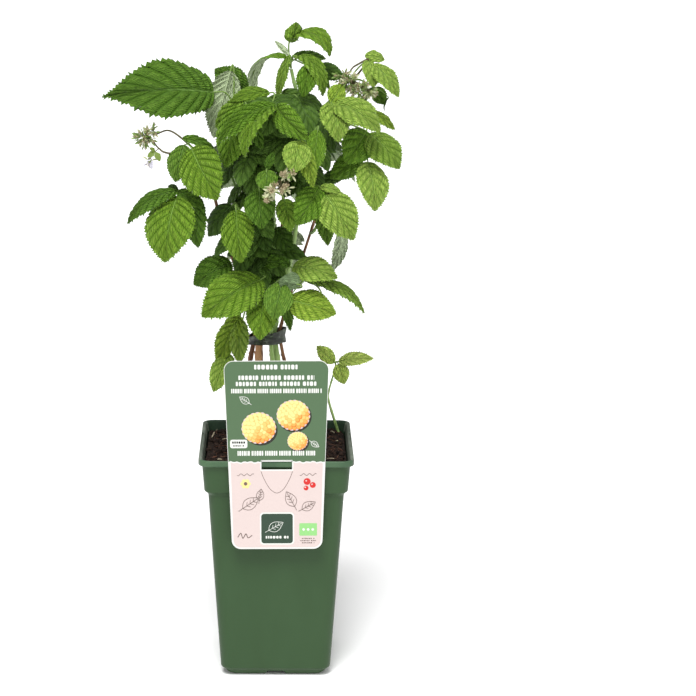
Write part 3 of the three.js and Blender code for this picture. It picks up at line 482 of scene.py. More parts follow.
def filleted(profile):
    """The profile with each corner that has a radius rounded by a short arc."""
    rows = []
    for index, (half, height, radius) in enumerate(profile):
        here = vec(half, height)
        if not radius or index in (0, len(profile) - 1):
            rows.append(here)
            continue
        before = vec(*profile[index - 1][:2]) - here
        after = vec(*profile[index + 1][:2]) - here
        reach = min(radius, np.linalg.norm(before) * 0.45, np.linalg.norm(after) * 0.45)
        start, end = here + unit(before) * reach, here + unit(after) * reach
        rows.extend(quadratic(start, here, end, FILLET_STEPS))
    return rows


def square_ring(half, corner, height, steps):
    points = []
    for quarter in range(4):
        centre = polar(45 + quarter * 90, (half - corner) * math.sqrt(2), height)
        for step in range(steps + 1):
            points.append(centre + polar(quarter * 90 + step * 90 / steps, corner, 0))
    return points


def square_lathe(rows, corner, steps):
    """A closed solid through rounded square rings, from the lower end face to the upper one."""
    store = Store()
    points = [square_ring(half, min(corner, half * 0.45), height, steps) for half, height in rows]
    ends = [[(0, 0, rows[0][1])], [(0, 0, rows[-1][1])]]
    store.add_rings(np.concatenate([*points, *ends]), len(rows), 4 * (steps + 1), 0)
    return store


def apply_cuts(thing, cutters):
    """Each cutter is added to the object or taken away from it."""
    for cutter, operation in cutters:
        modifier = thing.modifiers.new("cut", "BOOLEAN")
        modifier.object = cutter
        modifier.operation = operation
        modifier.solver = "EXACT"
    graph = bpy.context.evaluated_depsgraph_get()
    mesh = bpy.data.meshes.new_from_object(thing.evaluated_get(graph))
    thing.modifiers.clear()
    thing.data = mesh
    for cutter, _ in cutters:
        bpy.data.objects.remove(cutter)


def prism(name, outline, depths, turn):
    """An outline of (across, height) drawn out along one side of the pot, for a cut."""
    store = Store()
    points = [rotated(vec(across, depth, height), UP, turn)
              for depth in depths for across, height in outline]
    count = len(outline)
    fan = np.arange(1, count - 1)
    tris = [np.stack([np.zeros_like(fan), fan, fan + 1], -1),
            np.stack([np.zeros_like(fan) + count, fan + 1 + count, fan + count], -1)]
    store.add(points, np.roll(bands(count, [1], [0]), 1, 1), np.concatenate(tris))
    return store.object(name, [])


def rod(name, foot, height, radius, sides):
    store = Store()
    tube(store, [foot, foot + vec(0, 0, height)], radius, sides)
    return store.object(name, [])


def pot_finish(face):
    """Which finish a face of the pot takes: walls, the inside in painted shade, and the lip by its side."""
    inward = face.center.x * face.normal.x + face.center.y * face.normal.y < 0
    if face.center.z > RIM_FOOT * MM:
        if abs(face.center.x) > abs(face.center.y) + 4 * MM:
            return GREY_SIDE_LIPS
        return SHADED_INSIDE if inward else RIM
    return SHADED_INSIDE if inward else WALL


def make_pot():
    pot = square_lathe(filleted(POT_PROFILE), POT_CORNER, CORNER_STEPS).object("pot_shell", [])
    cutters = [(rod("pad", vec(0, 0, 0), FLOOR_UNDER + 1, PAD_RADIUS, 48), "UNION")]
    low, high = (ARCH_HALF - inset for inset in ARCH_CORNER)
    arch = [(-ARCH_HALF, -1), (ARCH_HALF, -1), (low, ARCH_HEIGHT - 1), (high, ARCH_HEIGHT),
            (-high, ARCH_HEIGHT), (-low, ARCH_HEIGHT - 1)]
    for quarter in range(4):
        turn = quarter * 90
        drain = rod("drain", rotated(vec(*DRAIN_PLACE), UP, turn), DRAIN_HEIGHT, DRAIN_RADIUS, 24)
        cutters.append((prism("arch", arch, ARCH_DEPTH, turn), "DIFFERENCE"))
        cutters.append((drain, "DIFFERENCE"))
        if quarter % 2:
            cutters.append((prism("slot", SLOT, SLOT_DEPTH, turn), "DIFFERENCE"))
    apply_cuts(pot, cutters)
    pot.data.materials.clear()
    for finish in POT_FINISHES:
        pot.data.materials.append(pot_plastic(*finish))
    for face in pot.data.polygons:
        face.use_smooth = True
        face.material_index = pot_finish(face)
    pot.data.set_sharp_from_angle(angle=math.radians(POT_SHARP))
    dress(pot, "pot_plastic", "pot")


# ---------------------------------------------------------------- the soil

CLEAR = 0.3
SOIL_EDGE = 219.5
SOIL_EDGE_HALF = 69.7
MOUND_HEIGHT = 3
SOIL_WALL = [(47.2, 7.4), (48.7, 8.8), (52.1, 13.3), (57.2, 81.3), (64.1, 192.7), (68, 197.8),
             (69, 215.5)]
SOIL_RINGS = 46
SOIL_CORNER_STEPS = 18

# Each unevenness of the soil's top: its size, its own place in the noise and its height.
SOIL_NOISE = [(16, 3.1, 1.9), (5.2, 7.7, 1.3), (1.9, 1.3, 0.6)]
SOIL_SINK = 0.6

CLOD_COUNT = 620
CLOD_SPREAD = 66
SMALL_CLOD = (0.7, 2.9)
LARGE_CLOD = (2.2, 4.2)
FIBRE_COUNT = 420
FIBRE_SPREAD = 63
FIBRE_LENGTH = (4, 15)
RED_FIBRE, DARK_FIBRE, STRAW = range(3)
STRAW_EVERY = 14
LONG_STRAWS = [((-65.6, 36), (-60.4, 66)), ((51, 66), (59, 52))]


def soil_height(x, y):
    share = min(max(abs(x), abs(y)) / COLLAR_HALF, 1)
    return SOIL_EDGE + MOUND_HEIGHT * (1 - share * share)


def rough_soil(x, y):
    """The mound with its clods and hollows."""
    height = soil_height(x, y)
    for size, place, rise in SOIL_NOISE:
        height += rise * noise.noise(Vector((x / size, y / size, place)))
    return height - SOIL_SINK


def soil_matter():
    finish = Finish("soil_brown", 0x2C211B, 0.9, 0.2)
    finish.vary_colour(finish.noise(240, 6), (0x100B09, 0x251913, 0x3E2D24), (0.3, 0.7))
    finish.bump(finish.noise(900, 5), 0.9, 0.002)
    finish.bump(finish.noise(260, 4), 0.7, 0.003)
    return finish.material


def make_soil():
    shares = [1 - step / SOIL_RINGS for step in range(1, SOIL_RINGS)]
    rows = [*SOIL_WALL, *[(SOIL_EDGE_HALF * share, SOIL_EDGE) for share in shares]]
    store = square_lathe(rows, POT_CORNER - CLEAR, SOIL_CORNER_STEPS)
    for point in store.points[0]:
        if point[2] > SOIL_EDGE - 2:
            point[2] = rough_soil(point[0], point[1])
    make_clods(store)
    dress(store.object("soil_bed", [soil_matter()], 70), "potting_soil", "soil")
    make_fibres()


def make_clods(store):
    draws = Draws(41)
    for index in range(CLOD_COUNT):
        x, y = draws.between(-CLOD_SPREAD, CLOD_SPREAD), draws.between(-CLOD_SPREAD, CLOD_SPREAD)
        size = draws.between(*(SMALL_CLOD if index % 4 else LARGE_CLOD))
        turn = draws.between(0, 360)
        breadth = size * draws.between(0.6, 1)
        along = polar(turn, size, draws.between(-0.4, 0.4))
        axes = np.array([along, polar(turn + 90, breadth, 0), UP * breadth * 0.75])
        ball(store, vec(x, y, rough_soil(x, y) + size * 0.12), axes, 0, 0.7, index)


def make_fibres():
    """Coir and bark strands that lie on the soil, with a few pale straws."""
    store = Store()
    draws = Draws(57)
    for index in range(FIBRE_COUNT):
        x, y = (draws.between(-FIBRE_SPREAD, FIBRE_SPREAD) for _ in range(2))
        start = vec(x, y, 0)
        half = draws.between(*FIBRE_LENGTH) / 2
        turn = draws.between(0, 360)
        bend = draws.between(-35, 35)
        through = start + polar(turn, half, 0)
        end = through + polar(turn + bend, half, 0)
        for place in (start, through, end):
            place[:2] = np.clip(place[:2], -CLOD_SPREAD, CLOD_SPREAD)
            place[2] = rough_soil(place[0], place[1]) + draws.between(0.1, 1.3)
        through[2] += draws.between(0.2, 2)
        pale = index % STRAW_EVERY == 0
        radius = draws.between(0.45, 0.8) if pale else draws.between(0.16, 0.42)
        radii = radius * np.array([0.6, 1, 1, 1, 1, 0.4])
        kind = STRAW if pale else (RED_FIBRE, DARK_FIBRE)[index % 2]
        tube(store, quadratic(start, through, end, 5), radii, 5, kind)
    for start, end in LONG_STRAWS:
        line = [vec(*(vec(*start) + (vec(*end) - start) * share), 0) for share in np.linspace(0, 1, 9)]
        for place in line:
            place[2] = rough_soil(place[0], place[1]) + 0.9
        tube(store, line, [0.5, *[0.75] * 7, 0.5], 6, STRAW)
    skins = [stem_skin("coir_red", 0x5B3A2A, 0.8), stem_skin("coir_dark", 0x3A2A20, 0.85),
             stem_skin("straw_pale", 0xA89C84, 0.7)]
    dress(store.object("soil_fibres", skins), "potting_soil")


# ---------------------------------------------------------------- canes and boughs

TIE_HEIGHT = 335
TIE_BAND = 17
TIE_CLEAR = TIE_BAND * 0.7

# Each cane's foot on the soil, its place in the tie, its radii at foot and tip, and its points higher up.
CANES = [
    dict(name="cane_leader", tone="green", foot=(16, 4), tie=(-1, 1), radii=(3.1, 1.5),
         upper=[(18, 0, 440), (22, -5, 545), (13, -4, 596)]),
    dict(name="cane_green", tone="green", foot=(6, -10), tie=(-5, -7.8), radii=(2.1, 1.2),
         upper=[(-3, -12, 420), (-4, -30, 525), (-5, -40, 548)]),
    dict(name="cane_thick", tone="tan", foot=(-22, -8), tie=(-17.5, -2.5), radii=(3.5, 2),
         upper=[(-15, 0, 420), (-17, 6, 500), (-12, 8, 540)]),
    dict(name="cane_left", tone="brown", foot=(-44, 12), tie=(-23.4, 4.2), radii=(2.5, 1.4),
         upper=[(-46, 10, 420), (-60, 2, 470), (-66, -6, 502)]),
    dict(name="cane_thin", tone="brown", foot=(-14, 14), tie=(-15, 7.6), radii=(1.6, 1),
         upper=[(-27, 22, 430), (-38, 22, 510), (-42, 16, 545)]),
    dict(name="cane_right", tone="brown", foot=(28, 8), tie=(4.8, 1.5), radii=(1.8, 1.1),
         upper=[(28, 14, 420), (50, 6, 490), (62, -4, 508)]),
    dict(name="cane_back", tone="brown", foot=(2, 22), tie=(-6, 8.4), radii=(1.6, 1.1),
         upper=[(4, 30, 430), (8, 38, 500), (10, 40, 545)]),
    dict(name="cane_sucker", tone="green", foot=(63, 58), tie=None, radii=(1.4, 0.8),
         upper=[(53, 54, 254), (53, 52, 265), (58, 46, 287)])
]
CANE_BARKS = {
    "green": ((0x6E8F4A, 0x93B268, 0xA9C17E), 0.5),
    "tan": ((0x7A5238, 0xB07F58, 0xC79C74), 0.6),
    "brown": ((0x4C3226, 0x7A523A, 0x936A4C), 0.6)
}
CANE_STEPS = 180
CANE_SIDES = 14
COARSE_STEPS = 12
NODE_GAP = 34
NODE_LENGTH = 2.2
NODE_TURN = 144
DENT_LENGTH = 16
PRICKLE_GAP = 7
PRICKLE_RADII = (0.32, 0.16, 0.03)
COLLAR_DEPTH = 2.2
COLLAR_FLARE = np.array([1.25, 1.12, 1.04, 1])
BOUGH_RADII = (1.6, 1.1)
BOUGH_STEPS = 40
BOUGH_SIDES = 10
BOUGH_NODE_GAP = 17
BOUGH_PRICKLES = 0.8


def between(ends, share):
    return ends[0] + (ends[1] - ends[0]) * share


def cane_points(cane):
    x, y = cane["foot"]
    points = [vec(x, y, soil_height(x, y) + CLEAR)]
    if cane["tie"]:
        points += [vec(*cane["tie"], TIE_HEIGHT + rise) for rise in (-TIE_CLEAR, TIE_CLEAR)]
    return points + [vec(*place) for place in cane["upper"]]


def bark_relief(line, sides, seed, nodes):
    """Ridges along the bark, shallow dents, and a swelling at each node."""
    turns = np.arange(sides) * 2 * math.pi / sides
    walked = np.concatenate([[0], np.cumsum(np.linalg.norm(np.diff(line, axis=0), axis=1))])
    relief = np.ones((len(line), sides))
    for ring, distance in enumerate(walked):
        swell = sum(math.exp(-((distance - node) / NODE_LENGTH) ** 2) for node in nodes)
        for column, turn in enumerate(turns):
            place = Vector((math.cos(turn) * 1.4, math.sin(turn) * 1.4, distance / DENT_LENGTH + seed))
            ridge = 0.035 * math.cos(5 * turn + seed)
            relief[ring, column] = 1 + 0.11 * noise.noise(place) + ridge + 0.2 * swell
    return walked, relief


def along_line(line, walked, distance):
    index = min(int(np.searchsorted(walked, distance)), len(line) - 2)
    return line[index], unit(line[index + 1] - line[index])


def grow_limb(store, line, radii, sides, seed, gap=NODE_GAP, prickles=1.0):
    """One cane or bough: barked tube, with a bud at each node and prickles between them."""
    draws = Draws(seed)
    length = np.linalg.norm(np.diff(line, axis=0), axis=1).sum()
    nodes = np.arange(gap * 0.7, length - 4, gap)
    walked, relief = bark_relief(line, sides, seed, nodes)
    tube(store, line, between(radii, np.linspace(0, 1, len(line))), sides, 0, relief)
    around = draws.between(0, 360)
    for node in nodes:
        around += NODE_TURN + draws.between(-12, 12)
        point, tangent = along_line(line, walked, node)
        radius = between(radii, node / length)
        outward = square_to(polar(around, 1, 0), tangent)
        place = point + outward * radius * 1.05 + tangent * 1.5
        size = radius * 0.55
        axes = [outward * 0.8, np.cross(tangent, outward), unit(tangent + outward * 0.5) * 1.8]
        ball(store, place, np.array(axes) * size, 0, 0.2, seed, 5, 7)
    for _ in range(int(length / PRICKLE_GAP * prickles)):
        distance = draws.between(3, length - 3)
        point, tangent = along_line(line, walked, distance)
        radius = between(radii, distance / length)
        outward = square_to(polar(draws.between(0, 360), 1, 0), tangent)
        root = point + outward * radius * 0.85
        spike = outward * draws.between(0.9, 1.7) - tangent * 0.5
        tube(store, [root, root + spike * 0.6, root + spike], PRICKLE_RADII, 4)


def make_canes():
    """The canes, and for each its coarse line and its radii."""
    skins = {tone: bark(f"cane_{tone}_bark", *looks) for tone, looks in CANE_BARKS.items()}
    lines = {}
    for index, cane in enumerate(CANES):
        name, tone, radii = cane["name"], cane["tone"], cane["radii"]
        places = cane_points(cane)
        lines[name] = (catmull_rom(places, COARSE_STEPS), radii)
        line = catmull_rom(places, CANE_STEPS)
        store = Store()
        grow_limb(store, line, radii, CANE_SIDES, index * 3 + 2)
        x, y, _ = line[0]
        collar = [(x, y, soil_height(x, y) - COLLAR_DEPTH), *line[:3]]
        tube(store, collar, radii[0] * COLLAR_FLARE, CANE_SIDES)
        dress(store.object(name + "_bark", [skins[tone]]), "cane_" + tone, name)
    return lines


def cane_at(coarse, radii, height):
    """A cane's centre, direction and radius at a height."""
    index = int(np.argmax(coarse[:, 2] > height))
    part = (height - coarse[index - 1][2]) / (coarse[index][2] - coarse[index - 1][2])
    share = (index - 1 + part) / (len(coarse) - 1)
    centre = between(coarse[index - 1:index + 1], part)
    return centre, unit(coarse[index] - coarse[index - 1]), between(radii, share)


def bough_line(mass, lines, steps):
    """A bough leaves its cane nearly level and rises to its tip."""
    centre, direction, radius = cane_at(*lines[mass["on"]], mass["at"])
    tip = vec(*mass["bough"])
    level = vec(tip[0] - centre[0], tip[1] - centre[1], 0)
    outward = unit(level)
    lean = abs(np.dot(direction, outward) / direction[2])

    def line_from(distance, count):
        start = centre + outward * distance
        elbow = start + level * 0.5
        elbow[2] += (tip[2] - start[2]) * 0.18
        return quadratic(start, elbow, tip, count)

    seat = radius * math.hypot(1, lean) + CLEAR + BOUGH_RADII[0] * lean
    rough = line_from(seat, 4)
    rise = abs(unit(rough[1] - rough[0])[2])
    return line_from(seat + BOUGH_RADII[0] * rise, steps)


# ---------------------------------------------------------------- where the leaves stand

LEAFLET_ASPECT = 0.66
LEAF_TAPER = (0.56, 0.26)
SIDE_SHARE = 0.74
NECK_SHARE = 0.09
OUTWARD_SHARE = 0.35
ROOT_DEPTH = 1.2


def side(x, y, z, **looks):
    """A side leaflet's tip, with what sets its blade apart from the end leaflet's."""
    if "base" in looks:
        looks["base"] = vec(*looks["base"])
    return vec(x, y, z), looks


def leaf(fork, tip, *tips, arch=40, lean=52, face=None, **looks):
    """A leaf's fork, the tips of its end and side leaflets, and how its upper side looks."""
    outward = math.degrees(math.atan2(fork[1], fork[0])) % 360
    if face is None:
        face = 270 + ((90 if outward < 90 else max(outward, 180)) - 270) * OUTWARD_SHARE
    looks = dict(arch=arch, lean=lean, face=face, **looks)
    return dict(fork=vec(*fork), tip=vec(*tip), tips=tips, looks=looks, grown=False)


def space(count, azimuth, reach, height, length):
    """A space round the plant's axis that holds a count of rows, each measure given from low to high."""
    return dict(count=count, azimuth=azimuth, reach=reach, height=height, length=length)


# Each mass of leaves: its tone, its cane and, where it stands on a bough, the height at which the
# bough leaves the cane and the bough's tip; then its flowers, and its listed rows or the spaces
# that seeded rows grow in.
MASSES = [
    dict(name="leaves_leader_top", tone="light", on="cane_leader",
         leaves=[
             leaf((15, -2, 625), (49, -16, 609),
                  side(17, -10, 641, base=(14, -4, 621), aspect=1.04, lean=80, arch=30), arch=150, lean=36,
                  face=308, aspect=0.76, pleat=1.4),
             leaf((11, -4, 609), (-22, -4, 577),
                  side(-3, 4, 622, lean=70, face=95, aspect=0.3, arch=20, twist=0),
                  side(0, -22, 569, aspect=0.26, lean=80, face=240, arch=25, twist=0, tone="fresh"),
                  arch=134, face=182, lean=44, aspect=0.5, twist=-100),
             leaf((15, -6, 609), (42, -34, 574),
                  side(24, -42, 574, base=(30, -28, 603), aspect=0.62, lean=80, arch=30, face=270),
                  side(46, 12, 604, aspect=0.3, lean=60, arch=30, tone="dark"), arch=128, lean=38, face=300,
                  aspect=0.42, pleat=1.5),
             leaf((35, 14, 597), (64, 6, 586),
                  side(50, 0, 576, base=(42, 6, 594), aspect=0.5, lean=60, tone="light"), arch=50, lean=55,
                  aspect=0.6, tone="dark")
         ]),
    dict(name="leaves_upper_left", tone="mid", on="cane_thin",
         leaves=[
             leaf((-52, 6, 573), (-165, -24, 571), arch=42, face=262, lean=58, aspect=0.58, pleat=1.1,
                  taper=(0.38, 1.0)),
             leaf((-44, 22, 596), (-61, 4, 529), arch=24, face=92, lean=82, aspect=0.5),
             leaf((-29, 46, 566), (-61, 40, 591), side(-21, 48, 585, lean=70, face=95, arch=30, aspect=0.6),
                  arch=30, face=270, lean=75, aspect=0.8, pleat=1.6)
         ]),
    dict(name="leaves_left_flower", tone="light", on="cane_left",
         truss=dict(ways=[[(-90, -30, 533), (-103, -26, 540), (-115, -24, 536)],
                          [(-103, -30, 519), (-112, -27, 523), (-118, -25, 530)]],
                    clusters=[((-126, -24, 534), 8, 13), ((-119, -24, 539), 5, 4)],
                    flower=(-121, -28, 512), size=5, style="bud",
                    sprigs=[(-121, -29, 524), (-123, -30, 515), (-111, -30, 511)]),
         leaves=[
             leaf((-83, -34, 528), (-55, -66, 481),
                  side(-96, -40, 493, base=(-88, -30, 527), aspect=0.74, lean=75, tone="mid"),
                  side(-57, -22, 513, base=(-90, -30, 533), aspect=0.42, arch=66, lean=35, face=300,
                       tone="mid"),
                  arch=30, lean=68, aspect=0.76, pleat=1.3)
         ]),
    dict(name="leaves_left", tone="light", on="cane_left", at=440, bough=(-78, -18, 468),
         leaves=[
             leaf((-94, -30, 483), (-105, -66, 421),
                  side(-142, -36, 452, aspect=0.42, arch=76, lean=38, face=235, tone="mid"),
                  side(-75, -34, 429, base=(-80, -28, 481), aspect=0.54, lean=75, tone="mid"),
                  side(-70, -48, 470, aspect=0.5, lean=70, face=285, tone="mid"),
                  side(-104, -18, 486, aspect=0.5, tone="dark"), arch=40, lean=66, aspect=0.77, pleat=1.3)
         ]),
    dict(name="leaves_left_inner", tone="mid", on="cane_thick", at=425, bough=(-30, -24, 452),
         leaves=[
             leaf((-39, -52, 472), (-33, -82, 424), arch=36, lean=66, aspect=0.62, pleat=1.2, tone="light"),
             leaf((-41, -22, 470), (-66, -24, 438), side(-60, -30, 419, base=(-37, -30, 442), aspect=0.5),
                  arch=50, lean=60, tone="dark", aspect=0.78, face=240)
         ]),
    dict(name="leaves_front_upper", tone="light", on="cane_green",
         leaves=[
             leaf((-1, -62, 568), (-29, -96, 525),
                  side(-54, -72, 535, aspect=0.42, arch=76, lean=50, face=240),
                  side(29, -88, 541, aspect=0.52, lean=66, tone="light"), arch=84, lean=60, face=222,
                  aspect=0.54, pleat=1.4),
             leaf((-32, -40, 572), (-48, -58, 510), side(-58, -34, 544, aspect=0.45, lean=70, face=240),
                  side(-14, -60, 527, base=(-26, -50, 561), aspect=0.42, tone="mid"), arch=34, lean=64,
                  aspect=0.56, pleat=1.8, tone="light"),
             leaf((-5, -30, 577), (-44, -40, 570), arch=60, lean=50, face=250, aspect=0.42)
         ]),
    dict(name="leaves_centre", tone="fresh", on="cane_leader", at=490, bough=(28, -40, 520),
         leaves=[
             leaf((21, -80, 539), (14, -98, 511), side(33, -92, 497, aspect=0.4, lean=62, face=290),
                  arch=34, lean=74, aspect=0.86, pleat=1.5),
             leaf((38, -62, 549), (31, -82, 506), arch=34, lean=74, aspect=0.46, pleat=0.4, tone="light")
         ]),
    dict(name="leaves_centre_low", tone="light", on="cane_green", at=455, bough=(-4, -40, 478),
         truss=dict(ways=[[(3, -88, 503), (3, -90, 496)], [(3, -88, 503), (10, -90, 500)]],
                    clusters=[((-7, -97, 492), 7, 5), ((10, -97, 494), 4.5, 3), ((10, -94, 507), 4.5, 3)],
                    size=5.4, style="dried"),
         leaves=[
             leaf((-17, -66, 493), (-14, -92, 458), side(-14, -72, 477, aspect=0.7), arch=40, lean=64,
                  aspect=0.74, tone="mid", pleat=1.3),
             leaf((-10, -80, 512), (-9, -94, 493), side(-3, -84, 529, aspect=0.45), arch=30, lean=72,
                  aspect=0.92, tone="mid"),
             leaf((6, -58, 482), (13, -86, 454), arch=34, lean=72, aspect=0.56, pleat=1.4)
         ]),
    dict(name="leaves_right_top", tone="fresh", on="cane_leader", at=548, bough=(60, 4, 578),
         truss=dict(ways=[[(86, -6, 605), (75, -12, 601), (70, -18, 598), (66, -24, 591)]],
                    clusters=[((61, -25, 592), 7, 8), ((69, -29, 586), 8, 14), ((78, -31, 580), 7, 12),
                              ((86, -31, 578), 5, 6)],
                    size=5, style="bud"),
         leaves=[
             leaf((88, -6, 603), (114, -26, 572),
                  side(90, -24, 581, base=(86, -6, 605), aspect=0.66, lean=74),
                  side(102, 4, 604, base=(83, 0, 608), aspect=0.74, arch=66, lean=50), arch=54, lean=66,
                  aspect=0.58, pleat=1.1),
             leaf((92, 14, 577), (104, 8, 561),
                  side(102, -4, 556, base=(106, 0, 569), aspect=0.2, arch=60, tone="dark"),
                  side(82, 2, 562, aspect=0.9), arch=40, aspect=0.8, tone="mid")
         ]),
    dict(name="leaves_upper_right", tone="fresh", on="cane_leader", at=515, bough=(46, -22, 544),
         leaves=[
             leaf((50, -46, 569), (95, -70, 545), side(56, -78, 537, aspect=0.66, lean=66),
                  side(61, -34, 585, aspect=0.8, lean=62, arch=24), arch=74, lean=50, aspect=0.64,
                  pleat=1.4),
             leaf((84, -34, 541), (114, -58, 509), side(64, -54, 513, aspect=0.84, lean=64, tone="light"),
                  side(112, -8, 539, base=(89, -12, 557), aspect=0.4, lean=56, face=285, arch=30,
                       tone="fresh"),
                  arch=60, lean=58, face=285, aspect=0.7, pleat=1.3)
         ]),
    dict(name="leaves_right", tone="light", on="cane_right",
         leaves=[
             leaf((85, -40, 516), (91, -70, 471),
                  side(50, -34, 496, base=(80, -30, 517), aspect=0.64, lean=62, tone="light"),
                  side(39, -30, 490, base=(64, -20, 500), aspect=0.5, lean=62, tone="dark"), arch=34,
                  lean=68, aspect=0.66, pleat=1.1, tone="fresh")
         ]),
    dict(name="leaves_right_low", tone="fresh", on="cane_right", at=435, bough=(42, -22, 462),
         leaves=[
             leaf((40, -66, 493), (71, -88, 447), side(18, -94, 462, aspect=0.62, lean=64, tone="light"),
                  side(61, -70, 486, aspect=0.5, arch=70, lean=44), arch=38, lean=64, aspect=0.68,
                  pleat=1.2),
             leaf((41, -40, 477), (48, -54, 435),
                  side(51, -58, 411, base=(61, -50, 450), aspect=0.42, arch=66, lean=74, face=50), arch=30,
                  lean=66, aspect=0.46, pleat=1.6, tone="mid")
         ]),
    dict(name="leaves_low_left", tone="light", on="cane_thick", at=375, bough=(-25, -24, 396),
         leaves=[
             leaf((-11, -44, 403), (-70, -86, 373), side(-39, -26, 408, aspect=0.5, tone="dark"),
                  side(-80, -26, 391, base=(-44, -20, 412), aspect=0.78, arch=34, lean=62, face=262,
                       tone="mid"),
                  arch=46, lean=60, face=258, aspect=0.64, pleat=1.2),
             leaf((-35, -34, 362), (-35, -58, 320), side(-57, -50, 319, aspect=0.47),
                  side(-51, -24, 351, aspect=0.45), arch=40, lean=64, aspect=0.44, pleat=1.2, tone="fresh"),
             leaf((-44, -46, 330), (-60, -66, 295), arch=34, lean=66, aspect=0.58, tone="fresh")
         ]),
    dict(name="leaves_low_front", tone="light", on="cane_green", at=368, bough=(-8, -30, 388),
         leaves=[
             leaf((-12, -52, 388), (-16, -78, 349), arch=38, lean=66, aspect=0.7, pleat=1.5),
             leaf((5, -66, 404), (-3, -88, 371), side(13, -60, 354, aspect=0.26), arch=30, lean=72,
                  aspect=0.74, pleat=0.6, tone="mid"),
             leaf((22, -66, 400), (2, -76, 406), arch=24, lean=80, face=80, aspect=0.98, tone="dark")
         ]),
    dict(name="leaves_low_right", tone="light", on="cane_leader", at=368, bough=(14, -20, 388),
         leaves=[
             leaf((12, -46, 413), (57, -70, 407), side(2, -40, 422, aspect=0.7, tone="mid"), arch=66,
                  lean=54, aspect=0.6, pleat=1.2, tone="fresh"),
             leaf((26, -40, 399), (83, -60, 371),
                  side(56, -72, 373, base=(11, -60, 384), aspect=0.72, lean=50, arch=24, face=262,
                       tone="fresh"),
                  side(43, -30, 381, aspect=0.62), arch=86, lean=14, face=290, aspect=0.34, tone="fresh")
         ]),
    dict(name="leaves_sucker", tone="light", on="cane_sucker",
         leaves=[
             leaf((60, 43, 298), (97, 36, 303),
                  side(40, 36, 316, base=(58, 42, 297), aspect=0.57, arch=18, lean=76, tone="young"),
                  side(68, 34, 277, base=(62, 42, 296), aspect=0.8, arch=18, lean=78, tone="young"),
                  arch=50, lean=55, face=270, aspect=0.43, tone="young")
         ]),
    dict(name="leaves_inner", tone="dark", on="cane_thick", at=405, bough=(-14, -12, 425),
         leaves=[
             leaf((-14, -22, 427), (8, -30, 400), side(-26, -24, 403), arch=40),
             leaf((-14, -30, 414), (-19, -52, 384), side(7, -36, 416, tone="mid", aspect=0.7), arch=40)
         ]),
    dict(name="leaves_heart", tone="dark", on="cane_thick", seed=11,
         grown=space(8, (190, 350), (18, 40), (490, 576), (40, 50)),
         more=[space(10, (175, 365), (4, 30), (480, 580), (42, 54)),
               space(8, (200, 330), (28, 50), (505, 576), (38, 50))]),
    dict(name="leaves_heart_low", tone="dark", on="cane_green", at=400, bough=(-4, -22, 420), seed=22,
         grown=space(6, (190, 262), (10, 28), (400, 468), (38, 46)),
         more=[space(8, (180, 268), (4, 22), (388, 468), (36, 48)),
               space(5, (205, 262), (22, 38), (396, 460), (34, 44))]),
    dict(name="leaves_back_top", tone="mid", on="cane_back", seed=12,
         grown=space(5, (55, 140), (18, 50), (520, 566), (38, 50))),
    dict(name="leaves_back_left", tone="mid", on="cane_thin", at=470, bough=(-46, 40, 490), seed=13,
         grown=space(4, (112, 160), (50, 74), (480, 545), (40, 52))),
    dict(name="leaves_back_right", tone="mid", on="cane_leader", at=470, bough=(38, 30, 492), seed=14,
         grown=space(4, (30, 68), (48, 72), (508, 562), (38, 50))),
    dict(name="leaves_back", tone="mid", on="cane_back", at=455, bough=(6, 58, 478), seed=25,
         grown=space(4, (75, 108), (58, 80), (475, 545), (40, 54))),
    dict(name="leaves_back_low_left", tone="mid", on="cane_thin", at=385, bough=(-30, 34, 402), seed=16,
         grown=space(3, (100, 135), (38, 54), (396, 440), (34, 44))),
    dict(name="leaves_back_low_right", tone="mid", on="cane_back", at=385, bough=(4, 44, 402), seed=17,
         grown=space(3, (74, 98), (38, 54), (396, 440), (34, 44)))
]


def grown_leaves(room, draws):
    """Leaves by rule in the mass's own space, round the plant's axis from low to high."""
    rows = []
    for index in range(room["count"]):
        share = (index + 0.5) / room["count"]
        swing = (index * 0.618 + draws() * 0.2) % 1
        azimuth = between(room["azimuth"], swing)
        reach = draws.between(*room["reach"])
        fork = polar(azimuth, reach, between(room["height"], share))
        length = draws.between(*room["length"])
        heading = azimuth + (draws() - 0.5) * 40
        dip = math.radians(42 + draws() * 16)
        tip = fork + polar(heading, math.cos(dip) * length, -math.sin(dip) * length)
        looks = dict(arch=25 + draws() * 20, lean=40 + draws() * 8, face=azimuth, hidden=True)
        rows.append(dict(fork=fork, tip=tip, tips=[], looks=looks, grown=True))
    return rows


def new_fold(draws):
    """How far a leaflet is folded up along its rib, in degrees."""
    return 10 - draws() * 16


